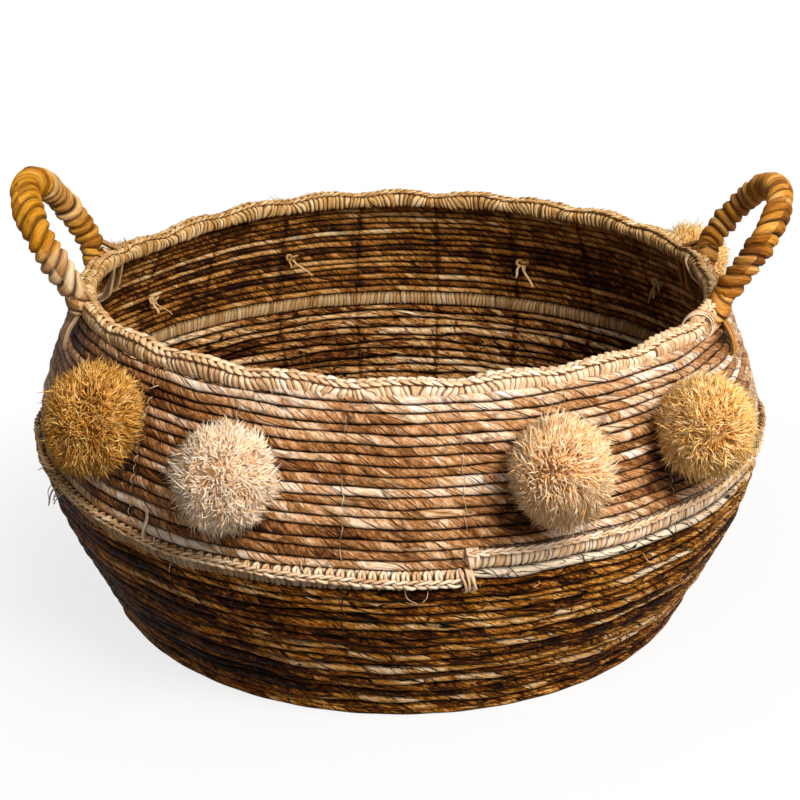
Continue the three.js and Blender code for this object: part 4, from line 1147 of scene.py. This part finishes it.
def handle_winding(side):
    """Leaf strip wound round the arch: a tube whose radius jumps up at the start of each turn of
    the strip and falls away to its end, under the next turn. The turns lean over by a few
    millimetres, are unevenly wide, and carry shallow folds along the strip. By the foot the tube
    is pressed flat on the side that turns down onto the rim."""
    middle, along, up, face = handle_axes(side)
    seed = 300 if side == "left" else 320
    sides, whole_run = 36, ARCH_RUN[-1]
    run = linspace(0.0001, whole_run - 0.0001, 620)[:, None]
    angle = around(sides)
    (x, y), (tx, ty) = at(run, ARCH, ARCH_RUN), at(run, ARCH_SLOPE, ARCH_RUN)

    def phase_at(angle):
        slant = run + (0.0032 + 0.0006 * wander(run, 0.013, seed + 5)) * cos(
            angle - 0.9 - 0.35 * wander(run, 0.018, seed + 6))
        return (WINDING_TURNS[side] * slant / whole_run + 0.17 * wander(slant, 0.009, seed)
                + angle / (2 * pi) + 40)

    phase = phase_at(angle)
    whole = np.floor(phase).astype(int)
    share = phase - whole
    rng = np.random.default_rng(seed + 1)
    plump = rng.uniform(-0.0006, 0.0006, 128)[whole % 128]
    peak = rng.uniform(0.3, 0.5, 128)[whole % 128]
    falling = clip((share - peak) / (1 - peak), 0, 1)
    bulge = np.where(share < peak, eased(0, 1, share / peak) ** 0.5, 1 - 0.9 * falling ** 2.2)
    crease = 2.4 * share + 1.2 * wander(run + angle * 0.008, 0.016, seed + 2)
    folds = 0.0004 * np.abs(sin(pi * crease))
    ends = np.minimum(run, whole_run - run)
    ball = np.sqrt(clip(1 - ((FOOT_BALL - ends) / FOOT_BALL) ** 2, 0.0004, 1))
    taper = np.where(ends < FOOT_BALL, 0.82 * ball, 0.82 + 0.18 * eased(FOOT_BALL, 0.009, ends))
    radius = taper * (WINDING_RADIUS - 0.0025 + plump + 0.0023 * bulge + (folds - 0.0002) * bulge)
    place = run / whole_run
    slim = 0.07 + 0.07 * exp(-((place - 0.5) / 0.2) ** 2) if side == "right" else 0
    pressed = 0.17 * clip(-sin(angle), 0, 1) * (1 - eased(0.008, 0.02, ends))
    radius *= 1 + 0.03 * wander(run, 0.03, seed + 3) - slim - pressed
    points = (middle + (x + radius * cos(angle) * ty)[..., None] * along
              + (y - radius * cos(angle) * tx)[..., None] * up
              + (radius * sin(angle))[..., None] * face)
    angle_uv = linspace(0, 2 * pi, sides + 1)[None, :]
    # The left handle is bleached to cream on its front leg, and a little half way up its back leg
    pale = 0.05 if side == "right" else (
        0.9 - 0.9 * eased(0.13, 0.22, place)
        + 0.4 * eased(0.6, 0.68, place) * (1 - eased(0.84, 0.9, place)))
    pale = clip(pale + 0.15 * wander(place, 0.03, seed + 4), 0, 1)
    # Painted shade darkens the strip's last few millimetres at each foot.
    put(f"handle_strip_{side}", skin(points, *wound_uv(phase_at(angle_uv), angle_uv)), golden[side],
        "golden_leaf", [f"handle_winding_{side}", f"handle_core_{side}"], f"handle_{side}",
        bleach=np.repeat(pale, sides),
        covered=np.repeat(0.85 * (1 - eased(0.001, 0.006, ends)), sides))


for side in ("left", "right"):
    handle_winding(side)


# Handle feet: lashings down from each, through the wall and up again inside, and a binding

def lashing(side, end, letter, number, azimuth, sign):
    """Leaf strip over the rim: a smooth line from the foot's outer side down past the rim, along
    the wall, through it 28 mm below the rim and up again, inside the rim's binding, to the foot's
    inner side. Those of the front feet lean to the front outside, the others to the back inside."""
    sideways = -LASHING_SIDESTEP if letter == "a" else LASHING_SIDESTEP
    lean = math.radians(HANDLE_LEAN[side])
    leg, off = np.array([[math.sin(lean), math.cos(lean)], [math.cos(lean), -math.sin(lean)]])
    foot = np.array([FOOT_CIRCLE_RADIUS, HINGE_HEIGHT])
    through = (float(np.interp(RIM_TOP - LASHING_DEPTH, OUTLINE[:, 1], ARCS))
               + 0.0012 * wander(np.array(number * 3.7), 1, 9))

    def beside(above, out):
        (radius, height), slope = (at(through + above, line, ARCS) for line in (OUTLINE, SLOPES))
        return np.array([radius + out * slope[1] - PINCH, height - out * slope[0]])

    def by_rim(out, below):
        return RIM_MIDDLE_RADIUS + out, RIM_TOP - below

    inside = -WALL_THICKNESS
    line = spline([
        foot + 0.0045 * leg + 0.0030 * off, foot + 0.0015 * leg + 0.0060 * off,
        by_rim(0.0068, 0.0012), by_rim(0.0067, 0.0085),
        beside(0.011, 0.0024), beside(0.0045, 0.0022), beside(0.0006, 0.0010),
        beside(0, inside / 2), beside(0.0006, inside - 0.0014), beside(0.0045, inside - 0.0052),
        beside(0.011, inside - 0.0060),
        by_rim(-0.0040, 0.0085), by_rim(-0.0024, 0.0040), by_rim(-0.0010, 0),
        foot + 0.0005 * leg - 0.0030 * off, foot + 0.0035 * leg - 0.0015 * off], 70)
    outward, along = outward_and_along(azimuth)
    share = linspace(0, 1, len(line))
    drift = (sideways * (1 + 0.25 * sin(pi * share * 2 + number))
             + 0.0006 * wander(share, 0.12, number + 400))
    if end == "front":
        ahead = 0.010 if side == "right" else 0.001
        drift = drift - sign * ahead * clip(share / 0.38, 0, 1) * (1 - eased(0.45, 0.62, share))
    else:
        behind = sign * 0.016 + 1.5 * sideways
        drift = drift + behind * eased(0.4, 0.6, share) * (1 - eased(0.8, 0.97, share))
    path = turned(line[:, 0], azimuth, line[:, 1]) + drift[:, None] * along
    path[:, 2] -= sag(azimuth, path[:, 2]) * (1 - eased(0.190, 0.200, path[:, 2]))
    slope = unit(np.gradient(line, axis=0), 0)
    face = slope[:, 1:2] * outward - slope[:, :1] * np.array([0, 0, 1.0])
    wide = ((0.0023 - 0.0004 * eased(0.45, 0.6, share))
            * (1 + 0.15 * wander(share, 0.1, number + 420)))
    thick = 0.0012 + 0.0014 * eased(0.45, 0.55, share) * (1 - eased(0.64, 0.72, share))
    made = strand(path, wide, thick, face, 700 + number, sides=12, power=0.85)
    piece = put(f"foot_lashing_{side}_{end}_{letter}", made, golden[side], "golden_leaf",
                [f"lashing_{side}_{end}_{letter}"], None, bleach=0.9 if side == "left" else 0.15)
    tuple(turned(0.186, azimuth, 0.1925))
    tuple(turned(0.190, azimuth, 0.2045))
    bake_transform(piece)


def foot_binding(side, end, seed, azimuth):
    """Two broad turns of leaf that bind a foot to the rim: a short oval tube straight down over the
    rim's outer side, rounded off at both ends, its size swelling over each turn. At the right front
    foot it leans forwards."""
    outward, along = outward_and_along(azimuth)
    sides = 28
    t = linspace(0.001, 0.999, 56)[:, None]
    angle, angle_uv = around(sides), linspace(0, 2 * pi, sides + 1)[None, :]
    height = HINGE_HEIGHT + 0.0035 - 0.0165 * t
    azimuth = azimuth - ((side, end) == ("right", "front")) * 4 * t

    def phase_at(angle):
        return 2.3 * t + 0.3 * cos(angle - 0.6 + seed) + angle / (2 * pi) + 3 + 5 * seed

    share = phase_at(angle) % 1
    size = 0.82 + (0.2 * np.minimum(share / 0.35, 1) ** 0.6
                   * (1 - 0.7 * maximum(share - 0.35, 0) ** 2))
    size = (size * (1 - np.abs(2 * t - 1) ** 3.5) ** 0.5
            * (1 + 0.05 * wander(t + seed, 0.2, seed + 500)))
    points = (turned(FOOT_CIRCLE_RADIUS + 0.0014 - 0.0006 * t, azimuth, height)
              + (0.0084 * size * cos(angle))[..., None] * along
              + (0.0064 * size * sin(angle))[..., None] * outward)
    points[..., 2] -= sag(azimuth, height)
    put(f"foot_binding_{side}_{end}", skin(points, *wound_uv(phase_at(angle_uv), angle_uv)),
        golden[side], "golden_leaf", bleach=0.85 if (side, end) == ("left", "front") else 0.1)


for foot, (side, end) in enumerate((s, e) for s in ("left", "right") for e in ("front", "back")):
    sign = 1 if side == "right" else -1
    foot_azimuth = sign * (HANDLE_AZIMUTH + (FOOT_SWING if end == "back" else -FOOT_SWING))
    foot_binding(side, end, foot, foot_azimuth)
    for k, letter in enumerate("ab"):
        lashing(side, end, letter, 2 * foot + k, foot_azimuth, sign)


# Floor, light and background

def seen_directly(tree, calc):
    """1 for rays from the camera, from a mirror or through glass, 0 for light on things."""
    path = add(tree, "LightPath").outputs
    return calc("MAXIMUM", calc("MAXIMUM", path["Is Camera Ray"], path["Is Glossy Ray"]),
                path["Is Transmission Ray"])


def floor_material():
    """Matt white studio paper. Camera rays see it lifted towards plain white, fully so away from
    the basket, so that it keeps the basket's shadow near it and fades into a white background."""
    material, tree, calc, mapped, _, mix, _ = blank_material("white_studio_paper")
    shown = add(tree, "LightPath").outputs["Is Camera Ray"]
    paper = add(tree, "BsdfDiffuse", {"Color": mix(shown, linear("#77726c"), linear("#e8e2de"))})
    glow = add(tree, "Emission", {"Color": (1, 1, 1, 1), "Strength": 1.0})
    place = add(tree, "TexCoord").outputs["Object"]
    away = add(tree, "VectorMath", {0: place}, operation="LENGTH").outputs["Value"]
    share = calc("MULTIPLY", seen_directly(tree, calc), mapped(away, 0.2, 0.4, start=0.8))
    mixed = add(tree, "MixShader", {0: share, 1: paper.outputs[0], 2: glow.outputs[0]})
    add(tree, "OutputMaterial", {0: mixed.outputs[0]})
    return material


def studio():
    """White paper floor, one broad lamp from the upper right and front, a weaker one from
    straight in front, and an even grey sky that the camera sees as white."""
    scene = bpy.context.scene
    bpy.ops.mesh.primitive_plane_add(size=14, location=(0, 0, 0))
    floor = bpy.context.object
    floor.name = "studio_floor"
    floor.data.materials.append(floor_material())
    floor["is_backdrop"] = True
    for name, place, size, power in (("key", (0.8, -1.1, 1.5), 0.9, 51),
                                     ("fill", (0.1, -1.9, 0.7), 1.2, 5)):
        lamp = bpy.data.lights.new(name, "AREA")
        lamp.shape, lamp.size, lamp.energy = "SQUARE", size, power
        lit = bpy.data.objects.new(name, lamp)
        lit.location = place
        x, y, z = np.array([0, 0, 0.12]) - np.array(place)
        lit.rotation_euler = (math.atan2(math.hypot(x, y), -z), 0, math.atan2(y, x) - math.pi / 2)
        scene.collection.objects.link(lit)
    scene.world = world = bpy.data.worlds.new("studio_sky")
    world.use_nodes = True
    world.node_tree.nodes.clear()
    tree, calc, *_ = short_calls(world.node_tree)
    light = calc("MULTIPLY_ADD", seen_directly(tree, calc), 0.86, 0.14)
    sky = add(tree, "Background", {"Color": (1, 1, 1, 1), "Strength": light})
    add(tree, "OutputWorld", {0: sky.outputs[0]})
    scene.view_settings.view_transform = "Standard"


studio()

full_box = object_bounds()
as_lists = lambda box: [[float(v) for v in corner] for corner in box]
{"cad": as_lists(cad_box), "visual": as_lists(full_box)}
